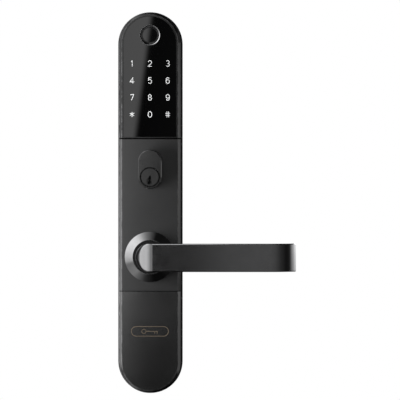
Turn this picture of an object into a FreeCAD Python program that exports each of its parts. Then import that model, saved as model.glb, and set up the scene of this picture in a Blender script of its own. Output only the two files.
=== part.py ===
"""Keypad smart lock: the outdoor escutcheon with its keypad, key cylinder, lever and clutch.

Lengths are millimetres. +Z is up and the door's face is the plane y = 0. The lock stands off it towards
-Y, so places along that axis are given as a depth in front of the door (depth = -y). The origin is on
the spindle's axis. Each function below makes one sub-part, and main() writes it to parts/NAME.step.
"""
import FreeCAD, Part

import math
import os

Vector = FreeCAD.Vector

# ---------------------------------------------------------------- clearances
RUNNING = 0.05          # radial clearance of a shaft in its bearing
SLIP = 0.10             # a piece that is pushed into its seat
AIR = 0.30              # free air beside something that moves
TOUCH = 0.02            # between two faces that meet
OVERCUT = 1.0           # how far a cutting tool runs past the face it opens

# ---------------------------------------------------------------- escutcheon
PLATE_WIDTH = 57.0
PLATE_ABOVE = 216.0     # top of the plate above the spindle
PLATE_BELOW = 121.0
SIDE_LEAN = 1.7         # how far each side wall leans in over the housing's height
COVER_CHAMFER = 2.25
KEYPAD_SEAM_Z = 103.55
KEYPAD_SEAM = 1.1
LOWER_SEAM_Z = -30.0
LOWER_SEAM = 0.6

GASKET_THICKNESS = 1.0
GASKET_BAND = 4.0
GASKET_INSET = 0.5      # from the housing's edge
BACK_PLATE_THICKNESS = 1.5
HOUSING_HEIGHT = 16.5
HOUSING_WALL = 2.2
COVER_THICKNESS = 4.5
RIB_THICKNESS = 1.6
RIB_HEIGHT = 3.0

HALF_WIDTH = PLATE_WIDTH / 2
HOUSING_BACK = GASKET_THICKNESS
BACK_PLATE_FRONT = HOUSING_BACK + BACK_PLATE_THICKNESS
DECK_FRONT = HOUSING_BACK + HOUSING_HEIGHT
DECK_BACK = DECK_FRONT - HOUSING_WALL
COVER_FRONT = DECK_FRONT + COVER_THICKNESS
COVER_HALF = HALF_WIDTH - SIDE_LEAN
FACE_HALF = COVER_HALF - COVER_CHAMFER
CAVITY_HALF = COVER_HALF - HOUSING_WALL
END_LOW = HALF_WIDTH - PLATE_BELOW
END_HIGH = PLATE_ABOVE - HALF_WIDTH

# ---------------------------------------------------------------- screws
SMALL_SHANK = 1.0       # radius
SMALL_HEAD = 1.9        # radius
SMALL_HEAD_HEIGHT = 1.3
COVER_SHANK = 1.5
COVER_HEAD = 2.75
COVER_HEAD_HEIGHT = 1.8
BOSS_RADIUS = 3.2
SCREW_EDGE = 4.4        # from the cavity's side to the lines of cover screws and bosses
COVER_BITE = 3.0        # of a screw in a cover
BOSS_BITE = 7.5         # of a screw in a boss
SMALL_BITE = 1.9        # of a small screw in the deck, a standoff or the rose
BOSS_BELOW_SEAM = 20.0
SCREW_BELOW_SEAM = 8.0
SCREW_ABOVE_SEAM = 10.0
SCREW_BELOW_KEYPAD = 8.5
MIDDLE_SCREW_Z = 40.0
LOW_SCREW_INSET = 3.0   # of the lowest pair, where the plate starts to turn round
RIB_BELOW_SEAM = 35.0

SMALL_SCREW = (SMALL_SHANK, SMALL_HEAD, SMALL_HEAD_HEIGHT)
COVER_SCREW = (COVER_SHANK, COVER_HEAD, COVER_HEAD_HEIGHT)
SCREW_X = CAVITY_HALF - SCREW_EDGE
BACK_BOSSES = [
    (0.0, END_LOW - SCREW_X),
    (0.0, END_HIGH + SCREW_X),
    (-SCREW_X, LOWER_SEAM_Z - BOSS_BELOW_SEAM),
    (SCREW_X, LOWER_SEAM_Z - BOSS_BELOW_SEAM),
    (-SCREW_X, KEYPAD_SEAM_Z),
    (SCREW_X, KEYPAD_SEAM_Z),
]
MIDDLE_SCREW_ROWS = (LOWER_SEAM_Z + SCREW_ABOVE_SEAM, MIDDLE_SCREW_Z, KEYPAD_SEAM_Z - SCREW_BELOW_KEYPAD)
MIDDLE_SCREWS = [(side * SCREW_X, z) for side in (-1, 1) for z in MIDDLE_SCREW_ROWS]
LOWER_SCREW_ROWS = ((SCREW_X, LOWER_SEAM_Z - SCREW_BELOW_SEAM), (SCREW_X - LOW_SCREW_INSET, END_LOW))
LOWER_SCREWS = [(side * x, z) for side in (-1, 1) for x, z in LOWER_SCREW_ROWS]
RIB_ROWS = (LOWER_SEAM_Z - RIB_BELOW_SEAM, LOWER_SEAM_Z, KEYPAD_SEAM_Z)

# ---------------------------------------------------------------- through-bolt posts and cable hole
POST_RADIUS = 5.0
POST_FLANGE_RADIUS = 8.0
POST_FLANGE_THICKNESS = 2.0
POST_REACH = 18.0       # into the door
POST_THREAD_RADIUS = 2.5
POST_THREAD_LENGTH = 22.0
POST_SCREW_SHANK = 2.0
POST_SCREW_HEAD = 4.0
POST_SCREW_BITE = 7.5
POST_LOW_Z = -80.0
POST_HIGH_Z = 190.0
GROMMET_ABOVE_SEAM = 4.0
GROMMET_BORE = 4.5
GROMMET_WALL = 2.0
GROMMET_LIP = 1.5

POST_PLACES = (POST_LOW_Z, POST_HIGH_Z)
GROMMET_Z = KEYPAD_SEAM_Z + GROMMET_ABOVE_SEAM

# ---------------------------------------------------------------- keypad module
RIM = 1.6               # width of the bezel's rim round the glass
LOWER_RIM = 0.9
LEDGE = 3.0
GLASS_THICKNESS = 1.5
GLASS_RECESS = 0.1
SEAL_THICKNESS = 0.3
TOUCH_BOARD_THICKNESS = 1.2
KEY_PITCH_X = 15.65
KEY_PITCH_Z = 14.85
KEYS_BELOW_SENSOR = 25.0  # from the sensor's centre to the first row of keys
KEY_COLUMNS = 3
KEY_ROWS = 4
LIGHT_WINDOW = 9.5
LED_WIDTH = 1.6
LED_HEIGHT = 0.8
LED_THICKNESS = 0.6
SENSOR_RISE = 6.7       # above the centre of the plate's upper round
SENSOR_HOLE = 9.0
SENSOR_RING_INNER = 6.4
SENSOR_LIP = 6.8        # radius of the lip's front edge, round the window
SENSOR_GROOVE = 7.3     # radius at the bottom of the collar's V groove
SENSOR_GROOVE_DEPTH = 1.0
SENSOR_RIM = 0.15       # flat left outside the groove
SENSOR_FLANGE = 9.6
SENSOR_DISC_RECESS = 0.1
BEZEL_SCREW_MARGIN = 7.0
BEZEL_SCREW_BITE = 2.0
BEZEL_SCREW_ANGLE = math.radians(40.0)   # of the top pair, from straight up

SENSOR_Z = END_HIGH + SENSOR_RISE
KEY_TOP_Z = SENSOR_Z - KEYS_BELOW_SENSOR
GLASS_HALF = FACE_HALF - RIM
GLASS_LOW = KEYPAD_SEAM_Z + KEYPAD_SEAM / 2 + LOWER_RIM
OPENING_HALF = GLASS_HALF - LEDGE
OPENING_LOW = GLASS_LOW + LEDGE
GLASS_FRONT = COVER_FRONT - GLASS_RECESS
GLASS_BACK = GLASS_FRONT - GLASS_THICKNESS
LEDGE_FRONT = GLASS_BACK - SEAL_THICKNESS
TOUCH_BOARD_FRONT = DECK_FRONT + TOUCH_BOARD_THICKNESS
BEZEL_SCREW_X = GLASS_HALF - LEDGE / 2
KEYS = [
    ((column - (KEY_COLUMNS - 1) / 2) * KEY_PITCH_X, KEY_TOP_Z - row * KEY_PITCH_Z)
    for row in range(KEY_ROWS)
    for column in range(KEY_COLUMNS)
]
BEZEL_SCREW_LOW = GLASS_LOW + BEZEL_SCREW_MARGIN
BEZEL_SCREW_HIGH = END_HIGH - BEZEL_SCREW_MARGIN
BEZEL_SCREW_MIDDLE = (BEZEL_SCREW_LOW + BEZEL_SCREW_HIGH) / 2
BEZEL_SCREW_ROWS = (
    (BEZEL_SCREW_X, BEZEL_SCREW_LOW),
    (BEZEL_SCREW_X, BEZEL_SCREW_MIDDLE),
    (BEZEL_SCREW_X, BEZEL_SCREW_HIGH),
    (BEZEL_SCREW_X * math.sin(BEZEL_SCREW_ANGLE), END_HIGH + BEZEL_SCREW_X * math.cos(BEZEL_SCREW_ANGLE)),
)
BEZEL_SCREWS = [(side * x, z) for side in (-1, 1) for x, z in BEZEL_SCREW_ROWS]

# ---------------------------------------------------------------- control board
BOARD_HALF = 17.5
BOARD_THICKNESS = 1.6
BOARD_STANDOFF = 3.2
STANDOFF_RADIUS = 2.4
BOARD_ABOVE_SEAM = 14.5
BOARD_BELOW_POST = 3.0
BOARD_SCREW_MARGIN = 3.5
HEADER_WIDTH = 12.0
HEADER_HEIGHT = 2.6
HEADER_RISE = 20.0      # above the board's lower edge
PROCESSOR_SIDE = 10.0
PROCESSOR_THICKNESS = 1.4
DRIVER_CHIP_WIDTH = 6.0
DRIVER_CHIP_THICKNESS = 1.2
CAPACITOR_WIDTH = 4.0
CAPACITOR_THICKNESS = 2.0
CHIP_GAP = 3.0
SOCKET_HALF = 7.0
SOCKET_HEIGHT = 6.0
SOCKET_DEPTH = 4.5
SOCKET_WALL = 1.0
SOCKET_EDGE = 1.0       # from the board's lower edge
BUZZER_RADIUS = 5.5
BUZZER_HEIGHT = 4.0
BUZZER_HOLE = 1.0       # radius and depth of the sound hole
BUZZER_MARGIN = 8.0     # from the board's side to the buzzer's centre
BUZZER_RISE = 16.0

BOARD_LOW = KEYPAD_SEAM_Z + BOARD_ABOVE_SEAM
BOARD_HIGH = POST_HIGH_Z - POST_FLANGE_RADIUS - BOARD_BELOW_POST
BOARD_FRONT = DECK_BACK - BOARD_STANDOFF
BOARD_BACK = BOARD_FRONT - BOARD_THICKNESS
BOARD_SCREW_X = BOARD_HALF - BOARD_SCREW_MARGIN
BOARD_SCREW_ROWS = (BOARD_LOW + BOARD_SCREW_MARGIN, BOARD_HIGH - BOARD_SCREW_MARGIN)
BOARD_SCREWS = [(side * BOARD_SCREW_X, z) for side in (-1, 1) for z in BOARD_SCREW_ROWS]
HEADER_Z = BOARD_LOW + HEADER_RISE

# ---------------------------------------------------------------- rose and lever
ROSE_RADIUS = 22.0
ROSE_HEIGHT = 6.0
ROSE_EDGE = 0.5
ROSE_TOP_RADIUS = 15.0
ROSE_BORE = 12.8
ROSE_WEB = 2.0
ROSE_SCREW_RING = 17.0
LEVER_HEIGHT = 24.4     # of the bar, and the neck's diameter
LEVER_PROJECTION = 55.0
LEVER_THICKNESS = 10.0
LEVER_BEND = 15.6       # outer radius of the elbow
ELBOW_OVERSHOOT = 0.6   # how far the elbow's sweep starts outside the round neck
ELBOW_ROUND = 12.0      # where the elbow's sweep meets the round neck, at the lever's side
LEVER_INNER_BEND = 6.0
LEVER_STRAIGHT = 105.6  # where the bar starts to curve back to the door
LEVER_TIP_RADIUS = 26.0
LEVER_TIP_ANGLE = 55.0
LEVER_EDGE = 0.9
LEVER_TRAVEL = 45.0     # degrees
JOURNAL_RADIUS = 9.0
JOURNAL_FLAT = 8.0
BUSH_WALL = 2.0
BUSH_FLANGE = 1.5
BUSH_FLANGE_THICKNESS = 1.0
BUSH_BOSS_WALL = 2.5

ROSE_SCREWS = [(0.0, -ROSE_SCREW_RING), (0.0, ROSE_SCREW_RING)]

# ---------------------------------------------------------------- clutch
HUB_BACK = 3.5
HUB_THICKNESS = 5.0
HUB_RADIUS = 13.0
HUB_SLEEVE_RADIUS = 12.0
HUB_SLEEVE_LENGTH = 3.0
HUB_PIN_RADIUS = 1.25
HUB_EAR_HALF = 3.4
HUB_EAR_REACH = 18.5
HUB_EAR_THICKNESS = 3.0
WASHER_THICKNESS = 0.9
WASHER_EDGE = 1.0       # of the follower's washer inside the hub's rim
FOLLOWER_RADIUS = 8.0
FOLLOWER_SHAFT = 7.0
SPINDLE_SQUARE = 8.0
SPINDLE_REACH = 55.0    # into the door
SPINDLE_DEPTH = 16.0    # inside the follower
FOLLOWER_NOSE = 2.0     # solid end of the follower, in front of the spindle
CLUTCH_PIN_RADIUS = 1.5
CLUTCH_PIN_NOTCH = 1.35
CLUTCH_PIN_PROUD = 1.0
CLUTCH_PIN_CROWN = 0.975
SHOE_THICKNESS = 3.0
SHOE_WALL = 3.4
SHOE_ANGLE = 55.0
SHOE_BLOCK_HALF = 4.0
SHOE_BLOCK_TOP = 25.5
SHOE_BLOCK_FRONT = 12.2
LEAD_SCREW_RADIUS = 1.5
LEAD_SCREW_LOW = 20.0
LEAD_SCREW_GAP = 0.5    # from its thick part to the gearbox
OUTPUT_RADIUS = 1.0     # of the motor's output
OUTPUT_LENGTH = 1.8
MOTOR_LOW = 35.0
MOTOR_GEARBOX = 9.0
MOTOR_CAN = 10.0
MOTOR_HALF = 6.0
MOTOR_DEPTH = 10.0
BRACKET_PLATE = 1.1
BRACKET_WALL = 1.5
BRACKET_EAR = 5.0
RAIL_HEIGHT = 4.0
RAIL_BELOW_SCREW = 1.0
SPRING_WIRE = 0.8       # radius
SPRING_TURNS = 2.5
SPRING_GAP = 0.7
SPRING_SINK = 1.3       # of its first turn behind the front of the hub's sleeve
STOP_RADIUS = 2.0
STOP_INSET = 1.2        # of the stops' ring inside the ear's end
LUG_RADIUS = 1.2
LUG_OFFSET = 2.0        # of each lug outside the coil's middle line

HUB_FRONT = HUB_BACK + HUB_THICKNESS
HUB_MIDDLE = (HUB_BACK + HUB_FRONT) / 2
JOURNAL_BACK = HUB_FRONT + SLIP
SLEEVE_FRONT = HUB_FRONT + HUB_SLEEVE_LENGTH
BUSH_BOSS_BACK = SLEEVE_FRONT + SLIP + WASHER_THICKNESS
BUSH_RADIUS = JOURNAL_RADIUS + RUNNING + BUSH_WALL
BUSH_BOSS_RADIUS = BUSH_RADIUS + BUSH_BOSS_WALL
NECK_BACK = COVER_FRONT + ROSE_WEB + AIR
MOTOR_BACK = DECK_BACK - BRACKET_PLATE - MOTOR_DEPTH
SCREW_DEPTH = MOTOR_BACK + MOTOR_DEPTH / 2
PIN_TIP = HUB_RADIUS + CLUTCH_PIN_PROUD
SPRING_RADIUS = BUSH_BOSS_RADIUS + SPRING_GAP + SPRING_WIRE
SPRING_BACK = SLEEVE_FRONT - SPRING_SINK
SPRING_FRONT = DECK_BACK - SPRING_WIRE - AIR
STOP_RING = HUB_EAR_REACH - STOP_INSET
HUB_PIN_DEPTH = (HUB_FRONT + SLEEVE_FRONT) / 2
SPINDLE_CORNER = SPINDLE_SQUARE / math.sqrt(2)
MOTOR_SPLIT = MOTOR_LOW + MOTOR_GEARBOX
MOTOR_TOP = MOTOR_SPLIT + MOTOR_CAN
BRACKET_INNER = MOTOR_HALF + SLIP
BRACKET_OUTER = BRACKET_INNER + BRACKET_WALL
BRACKET_EAR_X = BRACKET_OUTER + BRACKET_EAR / 2
BRACKET_EAR_Z = (MOTOR_LOW + MOTOR_TOP) / 2
BRACKET_SCREWS = [(-BRACKET_EAR_X, BRACKET_EAR_Z), (BRACKET_EAR_X, BRACKET_EAR_Z)]

# ---------------------------------------------------------------- key cylinder
OVAL_RADIUS = 10.25
OVAL_HEIGHT = 34.0
CYLINDER_Z = 69.8       # the plug's axis
CYLINDER_PROUD = 4.0
CYLINDER_REACH = 8.0    # into the door
CYLINDER_CHAMFER = 0.5
PLUG_RADIUS = 8.0
PLUG_RECESS = 0.2
PLUG_EDGE = 0.4         # chamfer of the plug's face
PLUG_GROOVE = 0.65      # the bore's flare round the plug
PLUG_GROOVE_DEPTH = 1.2
PIN_RADIUS = 1.42
PIN_COUNT = 5
PIN_PITCH = 4.5
FIRST_PIN = 5.0         # from the cylinder's face
DRIVER_LENGTH = 3.9
KEY_PIN_NOSE = 0.8
KEY_PIN_LENGTHS = (5.2, 6.2, 4.7, 6.7, 5.7)
PIN_SPRING_WALL = 0.4
COVER_STRIP = 1.6
COVER_STRIP_HALF = 2.2
COVER_STRIP_SINK = 0.5
COVER_STRIP_MARGIN = 2.75  # past the first and last chambers
KEYWAY_LENGTH = 26.0
KEY_GUIDE_DEPTH = 2.2
KEYWAY_PROFILE = (      # from the plug's axis, warded on both sides
    (-0.4, 1.2), (0.6, 1.2), (0.9, -1.6), (0.3, -2.6), (0.9, -4.0),
    (0.6, -6.4), (-1.5, -6.4), (-1.8, -4.6), (-0.9, -3.2), (-1.2, -1.0),
)
KEY_GUIDE_PROFILE = (   # the wider mouth that leads the key in
    (0.1, 1.4), (0.7, 1.2), (1.0, -0.4), (1.5, -3.3), (1.9, -5.7), (1.2, -6.5),
    (-1.5, -6.5), (-2.5, -5.8), (-2.9, -4.4), (-2.8, -1.9), (-1.2, -0.5), (-0.5, 0.2), (-0.2, 1.2),
)
CLIP_THICKNESS = 1.5
CLIP_GROOVE = 1.4
CLIP_FRONT = 13.0
CLIP_BOSS_RADIUS = 2.4
CLIP_BRIDGE = 3.4       # above the barrel
CLIP_DROP = 3.0         # of the fork's prongs below the plug's axis
CLIP_KEY_HALF = 3.0     # of the groove's uncut crown, which keys the fork
CAM_THICKNESS = 3.0
CAM_RADIUS = 7.0
CAM_REACH = 14.0
CAM_HALF = 3.0
CAM_SCREW_BITE = 6.0

OVAL_TOP_Z = CYLINDER_Z + OVAL_HEIGHT - 2 * OVAL_RADIUS
CYLINDER_FRONT = COVER_FRONT + CYLINDER_PROUD
CLIP_SCREW_X = OVAL_RADIUS + CLIP_BOSS_RADIUS + 3 * AIR
CLIP_HALF = CLIP_SCREW_X + CLIP_BOSS_RADIUS + AIR
CLIP_SCREWS = [(-CLIP_SCREW_X, OVAL_TOP_Z), (CLIP_SCREW_X, OVAL_TOP_Z)]
STRIP_LOW = OVAL_TOP_Z + OVAL_RADIUS - COVER_STRIP - COVER_STRIP_SINK
DRIVER_LOW = CYLINDER_Z + PLUG_RADIUS + RUNNING + TOUCH
PIN_DEPTHS = [CYLINDER_FRONT - FIRST_PIN - i * PIN_PITCH for i in range(PIN_COUNT)]
STRIP_BACK = PIN_DEPTHS[-1] - COVER_STRIP_MARGIN
STRIP_FRONT = PIN_DEPTHS[0] + COVER_STRIP_MARGIN


# ---------------------------------------------------------------- shapes
def at(x, depth, z):
    """A point that lies `depth` in front of the door."""
    return Vector(x, -depth, z)


def disc(radius, x, z, back, front):
    """A cylinder square to the door, between two depths."""
    return Part.makeCylinder(radius, front - back, at(x, back, z), Vector(0, -1, 0))


def cone(back_radius, front_radius, x, z, back, front):
    """A cone frustum square to the door, between two depths."""
    return Part.makeCone(back_radius, front_radius, front - back, at(x, back, z), Vector(0, -1, 0))


def ring(outer, inner, x, z, back, front):
    """A tube square to the door, between two depths."""
    return disc(outer, x, z, back, front).cut(disc(inner, x, z, back, front))


def block(x_low, x_high, z_low, z_high, back, front):
    """A box between two depths."""
    return Part.makeBox(x_high - x_low, front - back, z_high - z_low, at(x_low, front, z_low))


def post(radius, x, depth, z_low, z_high):
    """A cylinder along Z."""
    return Part.makeCylinder(radius, z_high - z_low, at(x, depth, z_low))


def rod_x(radius, x_low, x_high, depth, z):
    """A cylinder along X."""
    return Part.makeCylinder(radius, x_high - x_low, at(x_low, depth, z), Vector(1, 0, 0))


def prism(points, back, front):
    """The polygon of (x, z) points, carried from one depth to another."""
    corners = [at(x, back, z) for x, z in points]
    face = Part.Face(Part.makePolygon(corners + corners[:1]))
    return face.extrude(Vector(0, back - front, 0))


def join(*solids):
    """One solid from several that touch or overlap."""
    return solids[0].multiFuse(list(solids[1:])).removeSplitter()


def cut(solid, *tools):
    return solid.cut(Part.makeCompound(list(tools)))


def group(solids):
    """Separate solids that share one node."""
    return Part.makeCompound(list(solids))


def turned(x, z, degrees):
    """The place of (x, z) after a turn about +Y."""
    angle = math.radians(degrees)
    return x * math.cos(angle) + z * math.sin(angle), z * math.cos(angle) - x * math.sin(angle)


def stadium(back_half, front_half, z_low, z_high, back, front):
    """A bar with round ends centred on z_low and z_high, whose half width changes with depth."""
    if math.isclose(back_half, front_half):
        ends = [disc(back_half, 0, z, back, front) for z in (z_low, z_high)]
    else:
        ends = [cone(back_half, front_half, 0, z, back, front) for z in (z_low, z_high)]
    corners = [
        at(-back_half, back, z_low),
        at(back_half, back, z_low),
        at(front_half, front, z_low),
        at(-front_half, front, z_low),
    ]
    body = Part.Face(Part.makePolygon(corners + corners[:1])).extrude(Vector(0, 0, z_high - z_low))
    return join(body, *ends)


def arch(half, z_low, back, front):
    """The keypad's outline: flat along the bottom, round at the top with the plate."""
    bar = stadium(half, half, z_low, END_HIGH, back, front)
    below = block(-half, half, z_low - half, z_low, back, front)
    return bar.cut(below)


def oval(radius, back, front):
    """The key cylinder's outline, or one that follows it."""
    return stadium(radius, radius, CYLINDER_Z, OVAL_TOP_Z, back, front)


def screw(size, x, z, seat, tip):
    """A cheese-head screw driven from behind: its head's seat and its tip are depths."""
    shank, head, height = size
    return join(disc(shank, x, z, seat, tip), disc(head, x, z, seat - height, seat))


def screws(size, places, seat, tip):
    return group(screw(size, x, z, seat, tip) for x, z in places)


def discs(radius, places, back, front):
    return [disc(radius, x, z, back, front) for x, z in places]


def covers(z_low, z_high):
    """The chamfered front skin between two heights."""
    straight = COVER_FRONT - COVER_CHAMFER
    edge = stadium(COVER_HALF, COVER_HALF, END_LOW, END_HIGH, DECK_FRONT, straight)
    bevel = stadium(COVER_HALF, FACE_HALF, END_LOW, END_HIGH, straight, COVER_FRONT)
    window = block(-HALF_WIDTH, HALF_WIDTH, z_low, z_high, DECK_FRONT, COVER_FRONT)
    return join(edge, bevel).common(window)


# ---------------------------------------------------------------- housing
def door_gasket():
    half = HALF_WIDTH - GASKET_INSET
    inner = half - GASKET_BAND
    outline = stadium(half, half, END_LOW, END_HIGH, 0, GASKET_THICKNESS)
    return outline.cut(stadium(inner, inner, END_LOW, END_HIGH, 0, GASKET_THICKNESS))


def lever_stops():
    """Where the hub's ear meets the housing at either end of the lever's travel."""
    side = HUB_EAR_HALF + STOP_RADIUS + TOUCH
    return [(side, -STOP_RING), turned(-side, -STOP_RING, LEVER_TRAVEL)]


def base_housing():
    """The cast housing: leaning walls, a deck, bosses, ribs and the lever's bearing boss."""
    outer = stadium(HALF_WIDTH, COVER_HALF, END_LOW, END_HIGH, HOUSING_BACK, DECK_FRONT)
    cavity = stadium(HALF_WIDTH - HOUSING_WALL, CAVITY_HALF, END_LOW, END_HIGH, HOUSING_BACK, DECK_BACK)
    half = RIB_THICKNESS / 2
    rib_back = DECK_BACK - RIB_HEIGHT
    ribs = [block(-CAVITY_HALF, CAVITY_HALF, z - half, z + half, rib_back, DECK_BACK) for z in RIB_ROWS]
    bosses = discs(BOSS_RADIUS, BACK_BOSSES, BACK_PLATE_FRONT, DECK_BACK)
    bosses += discs(STANDOFF_RADIUS, BOARD_SCREWS, BOARD_FRONT, DECK_BACK)
    bosses += discs(CLIP_BOSS_RADIUS, CLIP_SCREWS, CLIP_FRONT, DECK_BACK)
    bosses += discs(STOP_RADIUS, lever_stops(), HUB_FRONT - HUB_EAR_THICKNESS, DECK_BACK)
    lug_x, lug_z = SPRING_WIRE + LUG_RADIUS, SPRING_RADIUS + LUG_OFFSET
    bosses.append(disc(LUG_RADIUS, lug_x, lug_z, SHOE_BLOCK_FRONT + AIR, DECK_BACK))
    bosses.append(disc(BUSH_BOSS_RADIUS, 0, 0, BUSH_BOSS_BACK, DECK_BACK))
    body = join(outer.cut(cavity), *ribs, *bosses)

    holes = discs(COVER_SHANK, BACK_BOSSES, BACK_PLATE_FRONT, BACK_PLATE_FRONT + BOSS_BITE + AIR)
    holes += discs(SMALL_SHANK, BOARD_SCREWS, BOARD_FRONT, DECK_BACK)
    holes += discs(SMALL_SHANK, CLIP_SCREWS, CLIP_FRONT, DECK_BACK)
    holes += discs(SMALL_SHANK, BRACKET_SCREWS, DECK_BACK, DECK_FRONT)
    holes += discs(COVER_SHANK + SLIP, MIDDLE_SCREWS + LOWER_SCREWS, DECK_BACK, DECK_FRONT)
    holes += discs(SMALL_SHANK + SLIP, BEZEL_SCREWS, DECK_BACK, DECK_FRONT)
    holes += [cone(POST_SCREW_SHANK, POST_SCREW_HEAD, 0, z, DECK_BACK, DECK_FRONT) for z in POST_PLACES]
    holes.append(disc(BUSH_RADIUS, 0, 0, BUSH_BOSS_BACK, DECK_FRONT))
    holes.append(oval(OVAL_RADIUS + SLIP, DECK_BACK, DECK_FRONT))
    holes.append(header(SLIP, DECK_BACK, DECK_FRONT))
    return cut(body, *holes)


def back_plate():
    half = HALF_WIDTH - HOUSING_WALL - SIDE_LEAN * BACK_PLATE_THICKNESS / HOUSING_HEIGHT - SLIP
    plate = stadium(half, half, END_LOW, END_HIGH, HOUSING_BACK, BACK_PLATE_FRONT)
    holes = [cone(COVER_HEAD, COVER_SHANK, x, z, HOUSING_BACK, BACK_PLATE_FRONT) for x, z in BACK_BOSSES]
    holes += [disc(POST_RADIUS + SLIP, 0, z, HOUSING_BACK, BACK_PLATE_FRONT) for z in POST_PLACES]
    holes.append(disc(SPINDLE_CORNER + 2 * AIR, 0, 0, HOUSING_BACK, BACK_PLATE_FRONT))
    holes.append(disc(GROMMET_BORE + GROMMET_WALL, 0, GROMMET_Z, HOUSING_BACK, BACK_PLATE_FRONT))
    holes.append(oval(OVAL_RADIUS + SLIP, HOUSING_BACK, BACK_PLATE_FRONT))
    return cut(plate, *holes)


def back_plate_screws():
    """Countersunk screws, flush with the back plate."""
    return group(
        join(
            cone(COVER_HEAD, COVER_SHANK, x, z, HOUSING_BACK, BACK_PLATE_FRONT),
            disc(COVER_SHANK, x, z, BACK_PLATE_FRONT, BACK_PLATE_FRONT + BOSS_BITE),
        )
        for x, z in BACK_BOSSES
    )


def through_bolt_posts():
    """Threaded posts that stand through the door, for the bolts from the indoor side."""
    posts = []
    for z in POST_PLACES:
        flange = disc(POST_FLANGE_RADIUS, 0, z, DECK_BACK - POST_FLANGE_THICKNESS, DECK_BACK)
        column = disc(POST_RADIUS, 0, z, -POST_REACH, DECK_BACK - POST_FLANGE_THICKNESS)
        bolt_hole = disc(POST_THREAD_RADIUS, 0, z, -POST_REACH, POST_THREAD_LENGTH - POST_REACH)
        screw_hole = disc(POST_SCREW_SHANK, 0, z, DECK_BACK - POST_SCREW_BITE - AIR, DECK_BACK)
        posts.append(cut(join(flange, column), bolt_hole, screw_hole))
    return group(posts)


def post_screws():
    """Countersunk screws that hold the posts to the deck, under the covers."""
    return group(
        join(
            disc(POST_SCREW_SHANK, 0, z, DECK_BACK - POST_SCREW_BITE, DECK_BACK),
            cone(POST_SCREW_SHANK, POST_SCREW_HEAD, 0, z, DECK_BACK, DECK_FRONT),
        )
        for z in POST_PLACES
    )


def cable_grommet():
    neck = GROMMET_BORE + GROMMET_WALL
    body = join(
        disc(neck + GROMMET_LIP, 0, GROMMET_Z, SLIP, HOUSING_BACK),
        disc(neck, 0, GROMMET_Z, HOUSING_BACK, BACK_PLATE_FRONT),
        disc(neck + GROMMET_LIP, 0, GROMMET_Z, BACK_PLATE_FRONT, BACK_PLATE_FRONT + GROMMET_LIP),
    )
    return body.cut(disc(GROMMET_BORE, 0, GROMMET_Z, 0, BACK_PLATE_FRONT + GROMMET_LIP))


# ---------------------------------------------------------------- front covers
def keypad_bezel():
    """A frame round the glass, with a ledge that carries it."""
    frame = covers(KEYPAD_SEAM_Z + KEYPAD_SEAM / 2, PLATE_ABOVE)
    pocket = arch(GLASS_HALF + SLIP, GLASS_LOW - SLIP, LEDGE_FRONT, COVER_FRONT)
    opening = arch(OPENING_HALF, OPENING_LOW, DECK_FRONT, LEDGE_FRONT)
    holes = discs(SMALL_SHANK, BEZEL_SCREWS, DECK_FRONT, DECK_FRONT + BEZEL_SCREW_BITE + SLIP)
    return cut(frame, pocket, opening, *holes)


def bezel_screws():
    return screws(SMALL_SCREW, BEZEL_SCREWS, DECK_BACK, DECK_FRONT + BEZEL_SCREW_BITE)


def glass_seal():
    outer = arch(GLASS_HALF, GLASS_LOW, LEDGE_FRONT, GLASS_BACK)
    return outer.cut(arch(OPENING_HALF, OPENING_LOW, LEDGE_FRONT, GLASS_BACK))


def keypad_glass():
    pane = arch(GLASS_HALF, GLASS_LOW, GLASS_BACK, GLASS_FRONT)
    return pane.cut(disc(SENSOR_HOLE, 0, SENSOR_Z, GLASS_BACK, GLASS_FRONT))


def keypad_board():
    board = arch(OPENING_HALF - SLIP, OPENING_LOW + SLIP, DECK_FRONT, TOUCH_BOARD_FRONT)
    return board.cut(disc(SENSOR_FLANGE + SLIP, 0, SENSOR_Z, DECK_FRONT, TOUCH_BOARD_FRONT))


def light_box():
    """An egg-crate frame that keeps each key's light to its own numeral."""
    front = GLASS_BACK - SLIP
    frame = arch(OPENING_HALF - SLIP, OPENING_LOW + SLIP, TOUCH_BOARD_FRONT, front)
    half = LIGHT_WINDOW / 2
    windows = [block(x - half, x + half, z - half, z + half, TOUCH_BOARD_FRONT, front) for x, z in KEYS]
    return cut(frame, disc(SENSOR_FLANGE + SLIP, 0, SENSOR_Z, TOUCH_BOARD_FRONT, front), *windows)


def key_leds():
    half_x, half_z = LED_WIDTH / 2, LED_HEIGHT / 2
    back, front = TOUCH_BOARD_FRONT, TOUCH_BOARD_FRONT + LED_THICKNESS
    return group(block(x - half_x, x + half_x, z - half_z, z + half_z, back, front) for x, z in KEYS)


def sensor_ring():
    """A metal collar clamped under the glass, with a V groove round the lip that holds the window."""
    radius = SENSOR_HOLE - SLIP
    bottom = GLASS_FRONT - SENSOR_GROOVE_DEPTH
    body = join(
        disc(SENSOR_FLANGE, 0, SENSOR_Z, TOUCH_BOARD_FRONT, GLASS_BACK),
        disc(radius, 0, SENSOR_Z, GLASS_BACK, GLASS_FRONT),
    )
    bore = disc(SENSOR_RING_INNER, 0, SENSOR_Z, TOUCH_BOARD_FRONT, GLASS_FRONT)
    groove = cone(SENSOR_GROOVE, radius - SENSOR_RIM, 0, SENSOR_Z, bottom, GLASS_FRONT)
    lip = cone(SENSOR_GROOVE, SENSOR_LIP, 0, SENSOR_Z, bottom, GLASS_FRONT)
    return cut(body, bore, groove.cut(lip))


def sensor_disc():
    radius = SENSOR_RING_INNER - SLIP / 2
    return disc(radius, 0, SENSOR_Z, TOUCH_BOARD_FRONT, GLASS_FRONT - SENSOR_DISC_RECESS)


def sensor_module():
    return disc(SENSOR_FLANGE, 0, SENSOR_Z, DECK_FRONT, TOUCH_BOARD_FRONT)


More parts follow.
